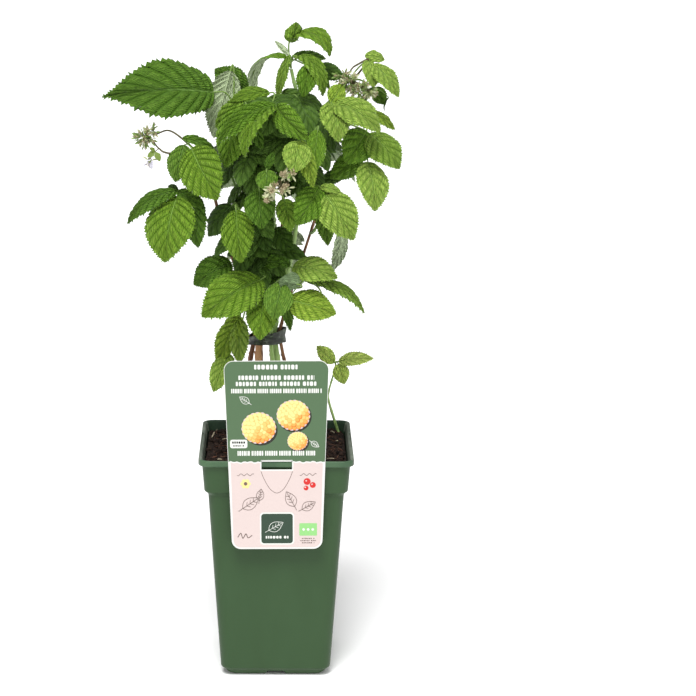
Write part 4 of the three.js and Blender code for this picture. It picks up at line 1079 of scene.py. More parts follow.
def leaf_parts(row, root, draws):
    """One leaf's stalk from its mass's stem, and its leaflets."""
    fork = row["fork"]
    heading = unit(row["tip"] - fork)
    reach = np.linalg.norm(fork - root)
    elbow = fork - heading * 0.35 * reach - vec(0, 0, 0.12 * reach)
    length = np.linalg.norm(row["tip"] - fork)
    neck = fork + heading * length * NECK_SHARE
    stalk = np.concatenate([quadratic(root, elbow, fork, 8), [neck, neck + heading * 2]])
    looks = dict(row["looks"])
    leaflets = [dict(looks, base=neck - heading * ROOT_DEPTH, tip=row["tip"], fold=new_fold(draws))]
    looks["arch"] *= 0.8
    for tip, more in row["tips"]:
        leaflet = dict(looks, **{"base": fork, "tip": tip, "fold": new_fold(draws), **more})
        if "base" in more:
            base = more["base"]
            bend = (fork + base) / 2 + vec(0, 0, 0.12 * np.linalg.norm(base - fork))
            leaflet["twig"] = [*quadratic(fork, bend, base, 5), base + unit(tip - base) * 2.4]
        leaflets.append(leaflet)
    if row["grown"]:
        normal = square_to(tilted(looks["face"], looks["lean"]), heading)
        for hand in (-1, 1):
            away = rotated(heading, normal, hand * (58 + draws() * 14))
            away[2] -= 0.15
            tip = fork + unit(away) * length * SIDE_SHARE
            leaflets.append(dict(looks, base=fork, tip=tip, fold=new_fold(draws)))
    return stalk, leaflets


# A grown leaf's turns in degrees and lifts, tried until it crosses nothing.
TRIALS = [
    (0, 0), (6, 0), (-6, 0), (0, 5), (0, -5), (12, 3), (-12, 3), (12, -4), (-12, -4), (18, 0), (-18, 0),
    (0, 10), (0, -10), (24, 6), (-24, 6), (24, -8), (-24, -8)
]


def turned_row(row, root, turn, lift):
    def move(point):
        return rotated(point - root, UP, turn) + root + vec(0, 0, lift)

    looks = dict(row["looks"], face=row["looks"]["face"] + turn)
    return dict(row, fork=move(row["fork"]), tip=move(row["tip"]), looks=looks)


# ---------------------------------------------------------------- leaf blades

# Along each side vein: where the rows of points stand, their steps of painted shade, and how far the edge's
# teeth reach.
VEIN_STEPS = (0, 0.12, 0.32, 0.5, 0.68, 0.88)
# Painted shade: step 0 darkens the faces in the crease at a vein, step 2 lightens the crest between veins.
VEIN_PAINTED_SHADES = (0, 1, 2, 2, 1, 0)
TOOTH_OUT = (1, -0.5, 0.45, -0.6, 0.4, -0.9)


def mirrored(*columns):
    return np.array([*[-column for column in columns[::-1]], 0, *columns])


COLUMNS = mirrored(0.022, 0.08, 0.18, 0.34, 0.52, 0.7, 0.87, 1)
COARSE_COLUMNS = mirrored(0.024, 0.2, 0.5, 0.84, 1)
ROUGH_COLUMNS = mirrored(0.5, 1)
ROUGH_ROWS = np.array([0, 0.12, 0.32, 0.55, 0.78, 1])
VEIN_SWEEP = 0.95
VEIN_CROWDING = 1.75
BLADE_THICK = 0.32
TOOTH_SIZE = 0.022
PLEAT = 0.042
QUILT = 0.16
RIB_GROOVE = 0.009
RIB_HALF = 0.02
# The faces beside the rib, out to this share of the half width, are painted one step darker: painted shade.
SHADED_GROOVE_HALF = 0.06


def leaflet_width(share, taper):
    """Half width along a leaflet, from a rounded base to a drawn-out tip, against the widest."""
    swell = np.sin(math.pi * np.clip(share, 0, 1) ** 0.84)
    return np.clip(swell, 0, 1) ** (taper[0] + taper[1] * share)


def relieved(relief, chord, rows, margin, columns, half, share, lateral, fold):
    """Where relief puts a blade's points: share along it, and lateral and rise across it."""
    spread = np.abs(columns)[None, :]
    hand = np.sign(columns)[None, :]
    edge = spread == 1
    tooth = relief["teeth"][:, None] * TOOTH_SIZE * chord
    lateral = lateral + np.where(edge, hand * tooth, 0)
    share = share + np.where(edge, np.clip(tooth, 0, None) * 0.9 / chord, 0)
    pleat = spread ** 0.55 * (1 - 0.5 * spread ** 2)
    rise = np.abs(lateral) * math.sin(fold)
    rise = rise + relief["pleat"] * chord * relief["crest"][:, None] * pleat * relief["quilt"]
    rise = rise + relief["crown"] * half * np.sin(math.pi * spread) - relief["droop"] * half * spread ** 2
    wave = np.sin(2 * math.pi * (relief["waves"] * margin[:, None] + relief["phase"] + 0.37 * hand))
    rise = rise + relief["ruffle"] * half * spread ** 2 * wave
    rise = rise - RIB_GROOVE * chord * np.exp(-(spread / 0.09) ** 2) * np.sqrt(1 - rows)[:, None]
    lateral = lateral * math.cos(fold)
    twist = np.radians(relief["twist"]) * (share - 0.25)
    turned = lateral * np.cos(twist) - rise * np.sin(twist)
    return share, turned, lateral * np.sin(twist) + rise * np.cos(twist)


def blade_places(leaflet, rows, columns, relief):
    """The upper side's points, rows by columns, and the direction out of it at each."""
    base, tip = leaflet["base"], leaflet["tip"]
    chord = np.linalg.norm(tip - base)
    forward = unit(tip - base)
    normal = square_to(tilted(leaflet["face"], leaflet["lean"]), forward)
    beside = np.cross(forward, normal)
    arch = math.radians(max(leaflet["arch"], 1))
    arc_radius = chord / 2 / math.sin(arch / 2)
    margin = rows + VEIN_SWEEP * rows ** 0.62 * (1 - rows)
    share = rows[:, None] + (margin - rows)[:, None] * np.abs(columns)[None, :] ** 1.12
    width = leaflet_width(margin, leaflet.get("taper", LEAF_TAPER))
    half = (chord * leaflet.get("aspect", LEAFLET_ASPECT) / 2 * width)[:, None]
    lateral = columns[None, :] * half
    fold = math.radians(leaflet["fold"])
    rise = np.abs(lateral) * math.sin(fold)
    if relief is not None:
        share, lateral, rise = relieved(relief, chord, rows, margin, columns, half, share, lateral, fold)
    slope = arch * (0.5 - np.clip(share, 0, 1.02))[..., None]
    ahead = arc_radius * (math.sin(arch / 2) - np.sin(slope))
    lift = arc_radius * (np.cos(slope) - math.cos(arch / 2))
    out = normal * np.cos(slope) - forward * np.sin(slope)
    places = base + forward * ahead + normal * lift + beside * lateral[..., None] + out * rise[..., None]
    places[0] = base
    places[-1] = places[-1].mean(0)
    return places, out


def sheet_tree(leaflet):
    """A coarse sheet of the leaflet, for finding what it would cross."""
    places, _ = blade_places(leaflet, ROUGH_ROWS, ROUGH_COLUMNS, None)
    count = len(ROUGH_COLUMNS)
    faces = []
    for row in range(len(ROUGH_ROWS) - 1):
        for column in range(count - 1):
            corner = row * count + column
            faces.append((corner, corner + 1, corner + count + 1, corner + count))
    flat = places.reshape(-1, 3)
    return BVHTree.FromPolygons(flat.tolist(), faces), flat.min(0), flat.max(0)


def blade(store, leaflet, kinds, draws):
    """One closed pleated leaflet. kinds are its upper tint in three steps of painted shade, from the dark
    of the crease to the painted highlight of the crest, its under side, its rib and its under side's rib."""
    chord = np.linalg.norm(leaflet["tip"] - leaflet["base"])
    veins = int(np.clip(round(chord / VEIN_GAP), 4, 10))
    steps = np.array([(vein + part) / veins for vein in range(veins) for part in VEIN_STEPS] + [1.0])
    rows = steps ** VEIN_CROWDING
    crest = np.sin(math.pi * ((steps * veins) % 1)) ** 0.65
    teeth = np.tile(TOOTH_OUT, veins) * np.array([draws.between(0.75, 1.25) for _ in range(len(steps) - 1)])
    relief = dict(
        teeth=np.append(teeth, 0), crest=crest * np.sqrt(np.sin(math.pi * np.clip(steps, 0.02, 0.98))),
        pleat=PLEAT * leaflet.get("pleat", 1) * draws.between(0.8, 1.2), crown=draws.between(0.05, 0.14),
        droop=draws.between(0.04, 0.24), ruffle=draws.between(0.02, 0.08), waves=draws.between(1.3, 2.6),
        phase=draws(), twist=draws.between(-16, 16) + leaflet.get("twist", 0)
    )
    columns = COARSE_COLUMNS if leaflet.get("hidden") else COLUMNS
    count = len(columns)
    cell = np.floor(steps * veins).astype(int)[:, None] + np.arange(count)[None, :]
    relief["quilt"] = np.where(cell % 2 == 0, 1 + QUILT, 1 - QUILT)
    places, out = blade_places(leaflet, rows, columns, relief)
    spread = np.abs(columns)
    ridge = 0.5 * np.exp(-(spread / 0.05) ** 2) * np.sqrt(1 - rows)[:, None] + 0.22 * (crest < 0.1)[:, None]
    depth = (BLADE_THICK + ridge * min(chord / 45, 1.3)) * (1 - spread ** 6)
    from_rib = np.linalg.norm(places - places[:, count // 2][:, None], axis=2) * np.sign(columns)
    along = np.broadcast_to((steps * veins * VEIN_GAP)[:, None], from_rib.shape)
    own = np.stack([from_rib, along, np.full(from_rib.shape, draws.between(0, 400))], -1)
    quads, tris, quad_kinds, tri_kinds = blade_faces(cell, spread, kinds)
    points = blade_points(places, places - out * depth[..., None])
    store.add(points, quads, tris, quad_kinds, tri_kinds, blade_points(own, own))


def blade_points(upper, under):
    """The base, the tip, the rows between them, and those rows' under side within the margin."""
    return np.concatenate([upper[[0, -1], 0], upper[1:-1].reshape(-1, 3), under[1:-1, 1:-1].reshape(-1, 3)])


def blade_faces(cell, spread, kinds):
    """A blade's quads and triangles, and the material number of each."""
    count, last = len(spread), len(cell) - 1
    held = (last - 1) * count
    upper_index = 2 + np.arange(held).reshape(last - 1, count)
    under_index = upper_index.copy()
    under_index[:, 1:-1] = 2 + held + np.arange(held - 2 * (last - 1)).reshape(last - 1, -1)
    quads, tris, quad_kinds, tri_kinds = [], [], [], []
    middle = (spread[:-1] + spread[1:]) / 2
    # Painted shade: faces beside the rib, and every lower quilted cell on a crest, go one step darker.
    rib, shaded_groove = middle < RIB_HALF, (middle > RIB_HALF) & (middle < SHADED_GROOVE_HALF)
    depths = np.resize(VEIN_PAINTED_SHADES, last)[1:-1, None]
    shaded_dimple = (cell[1:last - 1, :-1] % 2 == 1) & (depths == 2)
    shades = np.clip(depths - shaded_groove[None, :] - shaded_dimple, 0, 2)
    base, tip = np.zeros(count - 1, int), np.ones(count - 1, int)
    sides = [(upper_index, 1, np.asarray(kinds[:3])[shades], kinds[1], kinds[4]),
             (under_index, -1, np.full(shades.shape, kinds[3]), kinds[3], kinds[5])]
    for grid, way, face_kinds, end_kind, rib_kind in sides:
        a, b, c, d = grid[:-1, :-1], grid[:-1, 1:], grid[1:, 1:], grid[1:, :-1]
        quads.append(np.stack((a, b, c, d) if way == 1 else (a, d, c, b), -1).reshape(-1, 4))
        quad_kinds.append(np.where(rib, rib_kind, face_kinds).ravel())
        for fan in ((base, grid[0, 1:], grid[0, :-1]), (grid[-1, :-1], grid[-1, 1:], tip)):
            tris.append(np.stack(fan, -1)[:, ::way])
            tri_kinds.append(np.where(rib, rib_kind, end_kind))
    return [np.concatenate(parts) for parts in (quads, tris, quad_kinds, tri_kinds)]


# Each tone's four upper tints, two under sides, and rib above and below.
LEAF_TINTS = {
    # The light, fresh and mid under sides are lifted paler than the leaf's own pale under side: painted
    # light that offsets the shade they face and stands for light shining through the leaf.
    "light": ((0x5E8426, 0x648828, 0x567C22, 0x6A8E30), (0xBDCEA5, 0xB0C092), (0x6E8E38, 0xB4C298)),
    "fresh": ((0x74963A, 0x7E9E42, 0x6E9036, 0x7A9A34), (0xC2D0AA, 0xB6C69A), (0x84A24C, 0xBCCAA2)),
    "mid": ((0x527826, 0x4C7022, 0x587C2A, 0x486C20), (0xBDCEA8, 0xB0C098), (0x62823A, 0xB4C49A)),
    "dark": ((0x37531A, 0x426022, 0x314B18, 0x4A6A28), (0x6A825A, 0x728860), (0x4C692E, 0x728460)),
    "young": ((0xAECC64, 0xB8D46C, 0xA6C45C, 0xB2D068), (0xB0C088, 0xA4B47C), (0x9AB264, 0xB0BC8C))
}
# Painted shade and highlight: the crease, middle and crest steps that multiply each upper tint; the crest
# is paler for a painted sheen.
PAINTED_SHADES = ((0.72, 0.73, 0.66), (1.08, 1.03, 0.96), (1.46, 1.3, 1.42))
UPPER_KINDS = 4
UNDER_KINDS = 2
FOLIAGE_LIMIT = 150000
STALK_RADII = [0.95, *[0.8] * 7, 0.75, 0.65, 0.4]


def leaf_skins(tone):
    """Four upper tints, each in three steps of painted shade and highlight, then two under sides, the rib
    and the under rib.
    """
    uppers, unders, ribs = LEAF_TINTS[tone]
    relief = 0.45 if tone == "dark" else 0.8
    name = "leaf_" + tone
    made = []
    for index, tint in enumerate(uppers):
        for depth, shade in enumerate(PAINTED_SHADES):
            made.append(leaf_skin(f"{name}_{index}_{depth}", shaded(tint, shade), 0.52, relief))
    made += [leaf_skin(f"{name}_under_{index}", tint, 0.75, 0.8) for index, tint in enumerate(unders)]
    made += [stem_skin(f"{name}_rib_{index}", tint) for index, tint in enumerate(ribs)]
    return made


def drawn_kinds(draws):
    """A leaflet's material numbers: one tint's three steps of painted shade, one under side and the two
    ribs.
    """
    upper = len(PAINTED_SHADES) * int(draws() * UPPER_KINDS)
    unders = len(PAINTED_SHADES) * UPPER_KINDS
    rib = unders + UNDER_KINDS
    return upper, upper + 1, upper + 2, unders + int(draws() * UNDER_KINDS), rib, rib + 1


class Crowd:
    """Everything already in place, for finding crossings."""

    def __init__(self):
        self.trees, self.lows, self.highs = [], [], []

    def add(self, tree, low, high):
        self.trees.append(tree)
        self.lows.append(low)
        self.highs.append(high)

    def crosses(self, tree, low, high):
        near = np.all((np.array(self.lows) <= high) & (np.array(self.highs) >= low), axis=1)
        return any(self.trees[index].overlap(tree) for index in np.nonzero(near)[0])


def placed_leaf(row, root, crowd, seed):
    """A leaf's stalk and its leaflets that cross nothing. Rows that are listed stand where they are."""
    if not row["grown"]:
        return leaf_parts(row, root, Draws(seed))
    best = None, []
    for turn, lift in TRIALS:
        stalk, leaflets = leaf_parts(turned_row(row, root, turn, lift), root, Draws(seed))
        free = [leaflet for leaflet in leaflets if not crowd.crosses(*sheet_tree(leaflet))]
        if len(free) > len(best[1]):
            best = stalk, free
        if len(free) == len(leaflets):
            break
    return best


def grow_mass(mass, stem, crowd, foliage, twigs, seed):
    """Grows one mass: listed rows, or rows grown in its spaces."""
    draws = Draws(mass.get("seed", 1))
    rows = mass.get("leaves") or grown_leaves(mass["grown"], draws)
    for number, room in enumerate(mass.get("more", ())):
        rows = rows + grown_leaves(room, Draws(seed * 7 + number))
    looks = Draws(seed)
    for index, row in enumerate(rows):
        joint = 1 + int((len(stem) - 1) * (index + 0.5) / len(rows))
        root = stem[min(joint, len(stem) - 1)]
        stalk, leaflets = placed_leaf(row, root, crowd, 1 + int(draws() * 9999))
        if leaflets:
            tube(twigs, stalk, STALK_RADII, 8)
        for leaflet in leaflets:
            if "twig" in leaflet:
                tube(twigs, leaflet["twig"], np.linspace(0.75, 0.4, len(leaflet["twig"])), 8)
            crowd.add(*sheet_tree(leaflet))
            blade(foliage[leaflet.get("tone", mass["tone"])], leaflet, drawn_kinds(looks), looks)


def mass_stem(mass, rows):
    """A mass's stem starts clear of what carries it and runs towards its leaves."""
    carrier = mass["carrier"]
    ahead = unit(carrier[-1] - carrier[-2])
    start = carrier[-1] + ahead * (CLEAR + 0.1)
    middle = np.mean([row["fork"] for row in rows], axis=0)
    return quadratic(start, start + ahead * 8, start + (middle - start) * 0.6, 4)


def make_boughs(lines, limbs):
    boughs = Store()
    names = []
    for index, mass in enumerate(MASSES):
        mass["carrier"] = lines[mass["on"]][0]
        if "bough" in mass:
            mass["carrier"] = bough_line(mass, lines, 4)
            line = bough_line(mass, lines, BOUGH_STEPS)
            grow_limb(boughs, line, BOUGH_RADII, BOUGH_SIDES, index + 50, BOUGH_NODE_GAP, BOUGH_PRICKLES)
            tube(limbs, mass["carrier"], BOUGH_RADII[0], 5)
            names.append(mass["name"].replace("leaves", "bough"))
    dress(boughs.object("bough_bark", [stem_skin("bough_skin", 0x6E8A48)]), "cane_green", *names)


def make_plant():
    lines = make_canes()
    crowd = Crowd()
    limbs = Store()
    for coarse, radii in lines.values():
        tube(limbs, coarse, between(radii, np.linspace(0, 1, len(coarse))), 6)
    make_boughs(lines, limbs)
    points = np.concatenate(limbs.points)
    crowd.add(limbs.tree(), points.min(0), points.max(0))
    twigs, blooms = Store(), Store()
    parts = {tone: [Store()] for tone in LEAF_TINTS}
    for index, mass in enumerate(MASSES):
        rows = mass.get("leaves") or grown_leaves(mass["grown"], Draws(mass["seed"]))
        stem = mass_stem(mass, rows)
        fine = catmull_rom(stem, 16)
        tube(twigs, fine, np.linspace(1.1, 0.85, len(fine)), 8)
        if "truss" in mass:
            grow_truss(stem, blooms, **mass["truss"])
        foliage = {tone: held[-1] for tone, held in parts.items()}
        grow_mass(mass, stem, crowd, foliage, twigs, 100 + index)
        for held in parts.values():
            if held[-1].triangles() > FOLIAGE_LIMIT:
                held.append(Store())
    for tone, held in parts.items():
        skins = leaf_skins(tone)
        names = [mass["name"] for mass in MASSES if mass["tone"] == tone]
        for number, store in enumerate(held):
            if store.count:
                piece = store.object(f"foliage_{tone}_{number}", skins)
                dress(piece, "leaf_" + tone.replace("young", "light"), *(names if number == 0 else ()))
    dress(twigs.object("leaf_stalks", [stem_skin("stalk_skin", 0x6E8A40)]), "cane_green")
    dress(blooms.object("flower_trusses", bloom_skins()), "leaf_light")


# ---------------------------------------------------------------- flowers

GREEN_SEPAL, PALE_SEPAL, TUFT, DRY, WHITE_PETAL, CORE, STALK, SPRIG = range(8)
SEPAL_COUNT = 5
PETAL_ROWS = np.array([0, 0.15, 0.4, 0.7, 1])
PETAL_COLUMNS = np.array([-1, 0, 1])
PETAL_THICK = 0.3
STAMEN_RADII = [0.2, 0.18, 0.16, 0.14]
OPEN_FLOWER_SIZE = 6.4

# Each style's opening of the sepals and spread of the stamens in degrees, share of pale sepals and stamens.
FLOWER_STYLES = {"bud": (35, 30, 0.5, 9), "dried": (105, 62, 0.9, 44), "open": (95, 62, 0.9, 10)}


def bloom_skins():
    return [
        stem_skin("sepal_green", 0x76904A, 0.7), stem_skin("sepal_pale", 0xAEB28C, 0.75),
        stem_skin("stamen_tuft", 0xC2B694, 0.8), stem_skin("stamen_dry", 0x8E7E60, 0.85),
        stem_skin("petal_white", 0xD8D6E2, 0.6), stem_skin("flower_core", 0x7E8A54, 0.8),
        stem_skin("truss_stalk", 0x4A4428, 0.6), stem_skin("sprig_olive", 0x64782E, 0.6)
    ]


def petal(store, base, forward, upper, length, width, curl, kind):
    """A small pointed blade, closed, that curls away from its upper side."""
    flat = float(np.clip(math.hypot(upper[0], upper[1]), 0, 1))
    face = math.degrees(math.atan2(upper[1], upper[0])) % 360
    leaflet = dict(base=base, tip=base + forward * length, arch=curl, fold=12, aspect=width / length,
                   face=face, lean=math.degrees(math.asin(flat)))
    places, out = blade_places(leaflet, PETAL_ROWS, PETAL_COLUMNS, None)
    top = places[1:4].reshape(-1, 3)
    low = (places - out * PETAL_THICK)[1:4, 1]
    points = np.concatenate([[places[0, 0], places[-1, 0]], top, low])
    quads, tris = [], []
    for row in range(3):
        left, middle, right, under = 2 + row * 3, 3 + row * 3, 4 + row * 3, 11 + row
        if row == 0:
            tris += [(0, middle, left), (0, right, middle), (0, left, under), (0, under, right)]
        if row == 2:
            tris += [(left, middle, 1), (middle, right, 1), (left, 1, under), (under, 1, right)]
        else:
            quads += [(left, middle, middle + 3, left + 3), (middle, right, right + 3, middle + 3),
                      (left, left + 3, under + 1, under), (under, under + 1, right + 3, right)]
    store.add(points, quads, tris, kind, kind)


def flower_head(store, centre, facing, size, style, draws):
    """Five sepals round a core with its stamens; petals on an open flower."""
    opening, spread, pale, stamens = FLOWER_STYLES[style]
    across = unit(np.cross(facing, UP if abs(facing[2]) < 0.8 else vec(1, 0, 0)))
    beside = np.cross(facing, across)
    ball(store, centre, np.array([across * 0.34, beside * 0.34, facing * 0.4]) * size, CORE, 0.25, 3)
    start = draws.between(0, 360)
    for index in range(SEPAL_COUNT):
        outward = swung(across, beside, start + index * 360 / SEPAL_COUNT)
        angle = opening + draws.between(-18, 18)
        forward, upper = unit(swung(facing, outward, angle)), unit(swung(-outward, facing, angle))
        kind = GREEN_SEPAL if draws() > pale else PALE_SEPAL
        length = size * draws.between(0.95, 1.35)
        root = centre + outward * size * 0.22
        petal(store, root, forward, upper, length, size * 0.42, draws.between(-50, 30), kind)
        if style == "open":
            angle = 55 + draws.between(-20, 20)
            forward, upper = unit(swung(facing, outward, angle)), unit(swung(-outward, facing, angle))
            petal(store, centre + outward, forward, upper, size * 1.45, size * 0.9, 40, WHITE_PETAL)
    for index in range(stamens):
        around, tilt = draws.between(0, 360), draws.between(4, spread)
        forward = swung(facing, swung(across, beside, around), tilt)
        root = centre + facing * size * 0.1
        end = root + forward * size * draws.between(0.6, 0.95)
        middle = (root + end) / 2 + facing * size * 0.12
        kind = (TUFT, DRY, TUFT, PALE_SEPAL)[index % 4]
        tube(store, quadratic(root, middle, end, 3), STAMEN_RADII, 4, kind)
        knob = np.eye(3) * draws.between(0.28, 0.5)
        ball(store, end, knob, DRY if index % 3 else TUFT, 0.4, index, 4, 5)


def grow_truss(stem, blooms, size, style, ways, clusters, flower=None, sprigs=()):
    """Bent stalks from the mass's stem, with clusters of heads crowded round their ends."""
    draws = Draws(31)
    ends = []
    for way in ways:
        line = catmull_rom([stem[-2], *way], 8 * len(way))
        tube(blooms, line, np.linspace(1.1, 0.75, len(line)), 8, STALK)
        ends.append(line[-1])
    for centre, reach, count in clusters:
        centre = vec(*centre)
        root = min(ends, key=lambda end: np.linalg.norm(end - centre))
        for _ in range(count):
            outward = unit(vec(draws.between(-1, 1), draws.between(-1, 0.5), draws.between(-1, 1)))
            end = centre + outward * reach * draws.between(0.4, 1)
            line = quadratic(root, (root + centre) / 2 + UP, end, 7)
            tube(blooms, line, np.linspace(0.5, 0.4, len(line)), 6, STALK)
            facing = unit(outward + vec(0, -0.4, 0.1))
            flower_head(blooms, end, facing, size * draws.between(0.8, 1.15), style, draws)
    if flower:
        end, fork = vec(*flower), vec(*ways[-1][-2])
        twig = quadratic(fork, (fork + end) / 2 + UP * 3, end, 8)
        tube(blooms, twig, 0.42, 6, STALK)
        flower_head(blooms, end, unit(vec(-0.2, -0.45, -0.87)), OPEN_FLOWER_SIZE, "open", draws)
        base = twig[3]
        for place in sprigs:
            length = np.linalg.norm(vec(*place) - base)
            forward, upper = unit(vec(*place) - base), unit(vec(0.1, -1, 0.4))
            petal(blooms, base, forward, upper, length, length * 0.62, 30, SPRIG)


# ---------------------------------------------------------------- tie

TIE_CENTRE = (-9.5, 0, TIE_HEIGHT)
TIE_HALF = (18.6, 11.7)
TIE_THICK = 0.5
TIE_AROUND = 120
TIE_ROWS = 7
TIE_DROP = 6.9


def tie_place(turn, share, depth):
    """A point of the band, from its middle, at a turn in radians and a share of its width."""
    c, s = math.cos(turn), math.sin(turn)
    crease = 0.5 * noise.noise(Vector((c * 5, s * 5, share * 1.6 + 2)))
    pinch = 1 - 0.03 * math.cos(2 * math.pi * share)
    slant = 1.2 * c + 0.9 * noise.noise(Vector((c * 2, s * 2, 9)))
    wide = (TIE_BAND - 3.2) * (0.78 + 0.22 * c)
    reach = [half * pinch + crease - depth for half in TIE_HALF]
    return vec(c * reach[0], s * reach[1], (share + 0.5) * wide - TIE_DROP + slant)


def make_tie():
    """A creased band of dark film round the canes, wrapped a little aslant."""
    store = Store()
    turns = 2 * math.pi * np.arange(TIE_AROUND) / TIE_AROUND
    points = []
    for depth in (0, TIE_THICK):
        for row in range(TIE_ROWS):
            points += [tie_place(turn, row / (TIE_ROWS - 1) - 0.5, depth) for turn in turns]
    order = [*range(TIE_ROWS), *range(2 * TIE_ROWS - 1, TIE_ROWS - 1, -1)]
    store.add(np.array(points) + TIE_CENTRE, bands(TIE_AROUND, order, np.roll(order, -1)))
    finish = Finish("tie_film", 0x2C352A, 0.3, 0.5)
    finish.vary_colour(finish.noise(170, 3, (1, 1, 2)), (0x12170F, 0x2C3628, 0x6E7A68), (0.35, 0.75))
    finish.vary_roughness(finish.noise(200, 3), 0.18, 0.45)
    finish.bump(finish.noise(190, 4), 0.6, 0.0015)
    dress(store.object("tie_wrap", [finish.material], 40), "tie_band", "tie")


# ---------------------------------------------------------------- label

LABEL_TOP = 328.4
LABEL_BOTTOM = 141
LABEL_HALF_TOP = 49.8
LABEL_HALF_BOTTOM = 43.8
LABEL_CORNER = 9
LABEL_FACE = -76.1
LABEL_CENTRE = 2.3
LABEL_LEAN = 0.45
WINDOW_HALF = 14.7
WINDOW_LOW = 221
WINDOW_HIGH = 230.2
INK = 0.05
INK_ROOT = 0.1
PRINT_SPLIT = 229
GREEN_INSET = 0.5
CREAM_INSET = 1.7

# From YELLOW to ORANGE, each ink's deeper edge is printed in the next one.
(CARD, LABEL_GREEN, CREAM, WHITE_INK, DARK_GREEN, PALE_GREEN, LINE_GREY, YELLOW, GOLD, ORANGE, AMBER, RED,
 SHADE) = range(13)
INKS = [
    ("card_white", 0xCFCFCC), ("ink_green", 0x476142), ("ink_cream", 0xC5B5B1), ("ink_white", 0xD0D2CC),
    ("ink_dark_green", 0x243A2A), ("ink_pale_green", 0x84BC72), ("ink_line", 0x64544E),
    ("ink_yellow", 0xE2CC84), ("ink_gold", 0xDDB465), ("ink_orange", 0xD99A48), ("ink_amber", 0xD26B14),
    ("ink_red", 0xBC2018), ("ink_shade", 0x1C1E12)
]

# Lines of plain blocks: x and height of the middle, length, the blocks' height and width, seed and ink.
PRINT_LINES = [
    (0, 322.4, 42, 4.6, 2.4, 3, WHITE_INK),
    (0, 312, 72, 4.4, 2.2, 4, WHITE_INK),
    (0, 306, 77, 4.2, 2.2, 5, WHITE_INK),
    (0, 299, 86, 4.4, 1.2, 6, WHITE_INK),
    (0, 237.4, 75, 4.8, 1.3, 7, WHITE_INK),
    (-36.2, 248.2, 12.5, 2.2, 1.6, 21, RED),
    (-36.2, 244.9, 11, 1.3, 1, 22, RED),
    (0, 153, 22, 2.6, 1.8, 8, WHITE_INK),
    (30, 151.6, 12, 0.9, 1.2, 9, LINE_GREY),
    (30, 149.4, 15, 0.9, 1.2, 10, LINE_GREY),
    (30, 147.2, 12, 0.9, 1.2, 11, LINE_GREY)
]

# Boxes: left, low, right, high, corner radius, level and ink.
PRINT_BOXES = [
    (-44.5, 242.6, -28, 251, 2, 6, WHITE_INK),
    (-16.5, 145.5, 16.5, 178, 3.4, 4, WHITE_INK),
    (-15.2, 146.8, 15.2, 176.7, 2.8, 5, DARK_GREEN),
    (21.5, 154.5, 38.5, 167, 0.8, 4, PALE_GREEN)
]

# Pale fruits: x, height, radius, seed and turn. Each holds rings of drupelets, as shares and counts.
FRUITS = [(-17, 262.5, 16, 9, -14), (16, 275, 15.5, 5, 12), (20, 249.5, 9.5, 13, 30)]
FRUIT_RINGS = [(0.86, 20), (0.64, 15), (0.42, 10), (0.2, 5), (0, 1)]
FRUIT_SQUASH = 0.94

# Drawn leaves: x and height of the base, length, turn and ink.
DRAWN_LEAVES = [
    (-26, 287, 11, 145, WHITE_INK), (33, 248.6, 9, -35, WHITE_INK), (-33, 182, 19, 35, LINE_GREY),
    (-17, 190, 12, 80, LINE_GREY), (17, 184, 17, 118, LINE_GREY), (24, 181, 15, 30, LINE_GREY),
    (-8, 160, 16, 30, WHITE_INK)
]
RED_FRUITS = [(29, 209, 3.4), (34.5, 205.5, 2.9), (28, 202.5, 2.4)]
BLOSSOM = (-30, 207)
TONGUE_EDGE = [(15.2, 219.4), (12.4, 212), (7.6, 203), (3.6, 199)]
TONGUE_TIP = (0, 197.6)
SQUIGGLE = [(-38, 153), (-35, 157), (-33, 152), (-30, 156.5), (-28, 152.5), (-24, 155)]


def inlay(store, outline, level, kind):
    """A thin layer of ink in a closed outline of (x, height) on the label's face."""
    count = len(outline)
    depths = (LABEL_FACE - INK * level, LABEL_FACE + INK_ROOT)
    points = [vec(x, depth, z) for depth in depths for x, z in outline]
    tris, quads = [], []
    for a, b, c in geometry.tessellate_polygon([[Vector((x, z, 0)) for x, z in outline]]):
        (ax, az), (bx, bz), (cx, cz) = outline[a], outline[b], outline[c]
        if (bx - ax) * (cz - az) - (cx - ax) * (bz - az) < 0:
            b, c = c, b
        tris += [(a, b, c), (a + count, c + count, b + count)]
    area = 0
    for a, (x, z) in enumerate(outline):
        b = (a + 1) % count
        area += x * outline[b][1] - outline[b][0] * z
        quads.append((a, a + count, b + count, b))
    if area <= 0:
        quads = [quad[::-1] for quad in quads]
    store.add(points, quads, tris, kind, kind)


def placed(x, z, ahead, aside, turn):
    """The place ahead and aside of (x, z), where ahead is turned from level by degrees."""
    c, s = math.cos(math.radians(turn)), math.sin(math.radians(turn))
    return x + ahead * c - aside * s, z + ahead * s + aside * c


def disc(x, z, radius, count=20, squash=1.0, turn=0.0):
    angles = [2 * math.pi * step / count for step in range(count)]
    return [placed(x, z, math.cos(a) * radius, math.sin(a) * radius * squash, turn) for a in angles]


def quarter_arc(x, z, radius, quarter, steps):
    """Places round one quarter of a circle. The quarters are numbered from the upper right."""
    angles = [math.radians(quarter * 90 + 90 * step / steps) for step in range(steps + 1)]
    return [(x + math.cos(angle) * radius, z + math.sin(angle) * radius) for angle in angles]


def rounded_box(left, low, right, high, radius, steps=5):
    left, low, right, high = left + radius, low + radius, right - radius, high - radius
    points = []
    for quarter, (x, z) in enumerate(((right, high), (left, high), (left, low), (right, low))):
        points += quarter_arc(x, z, radius, quarter, steps)
    return points


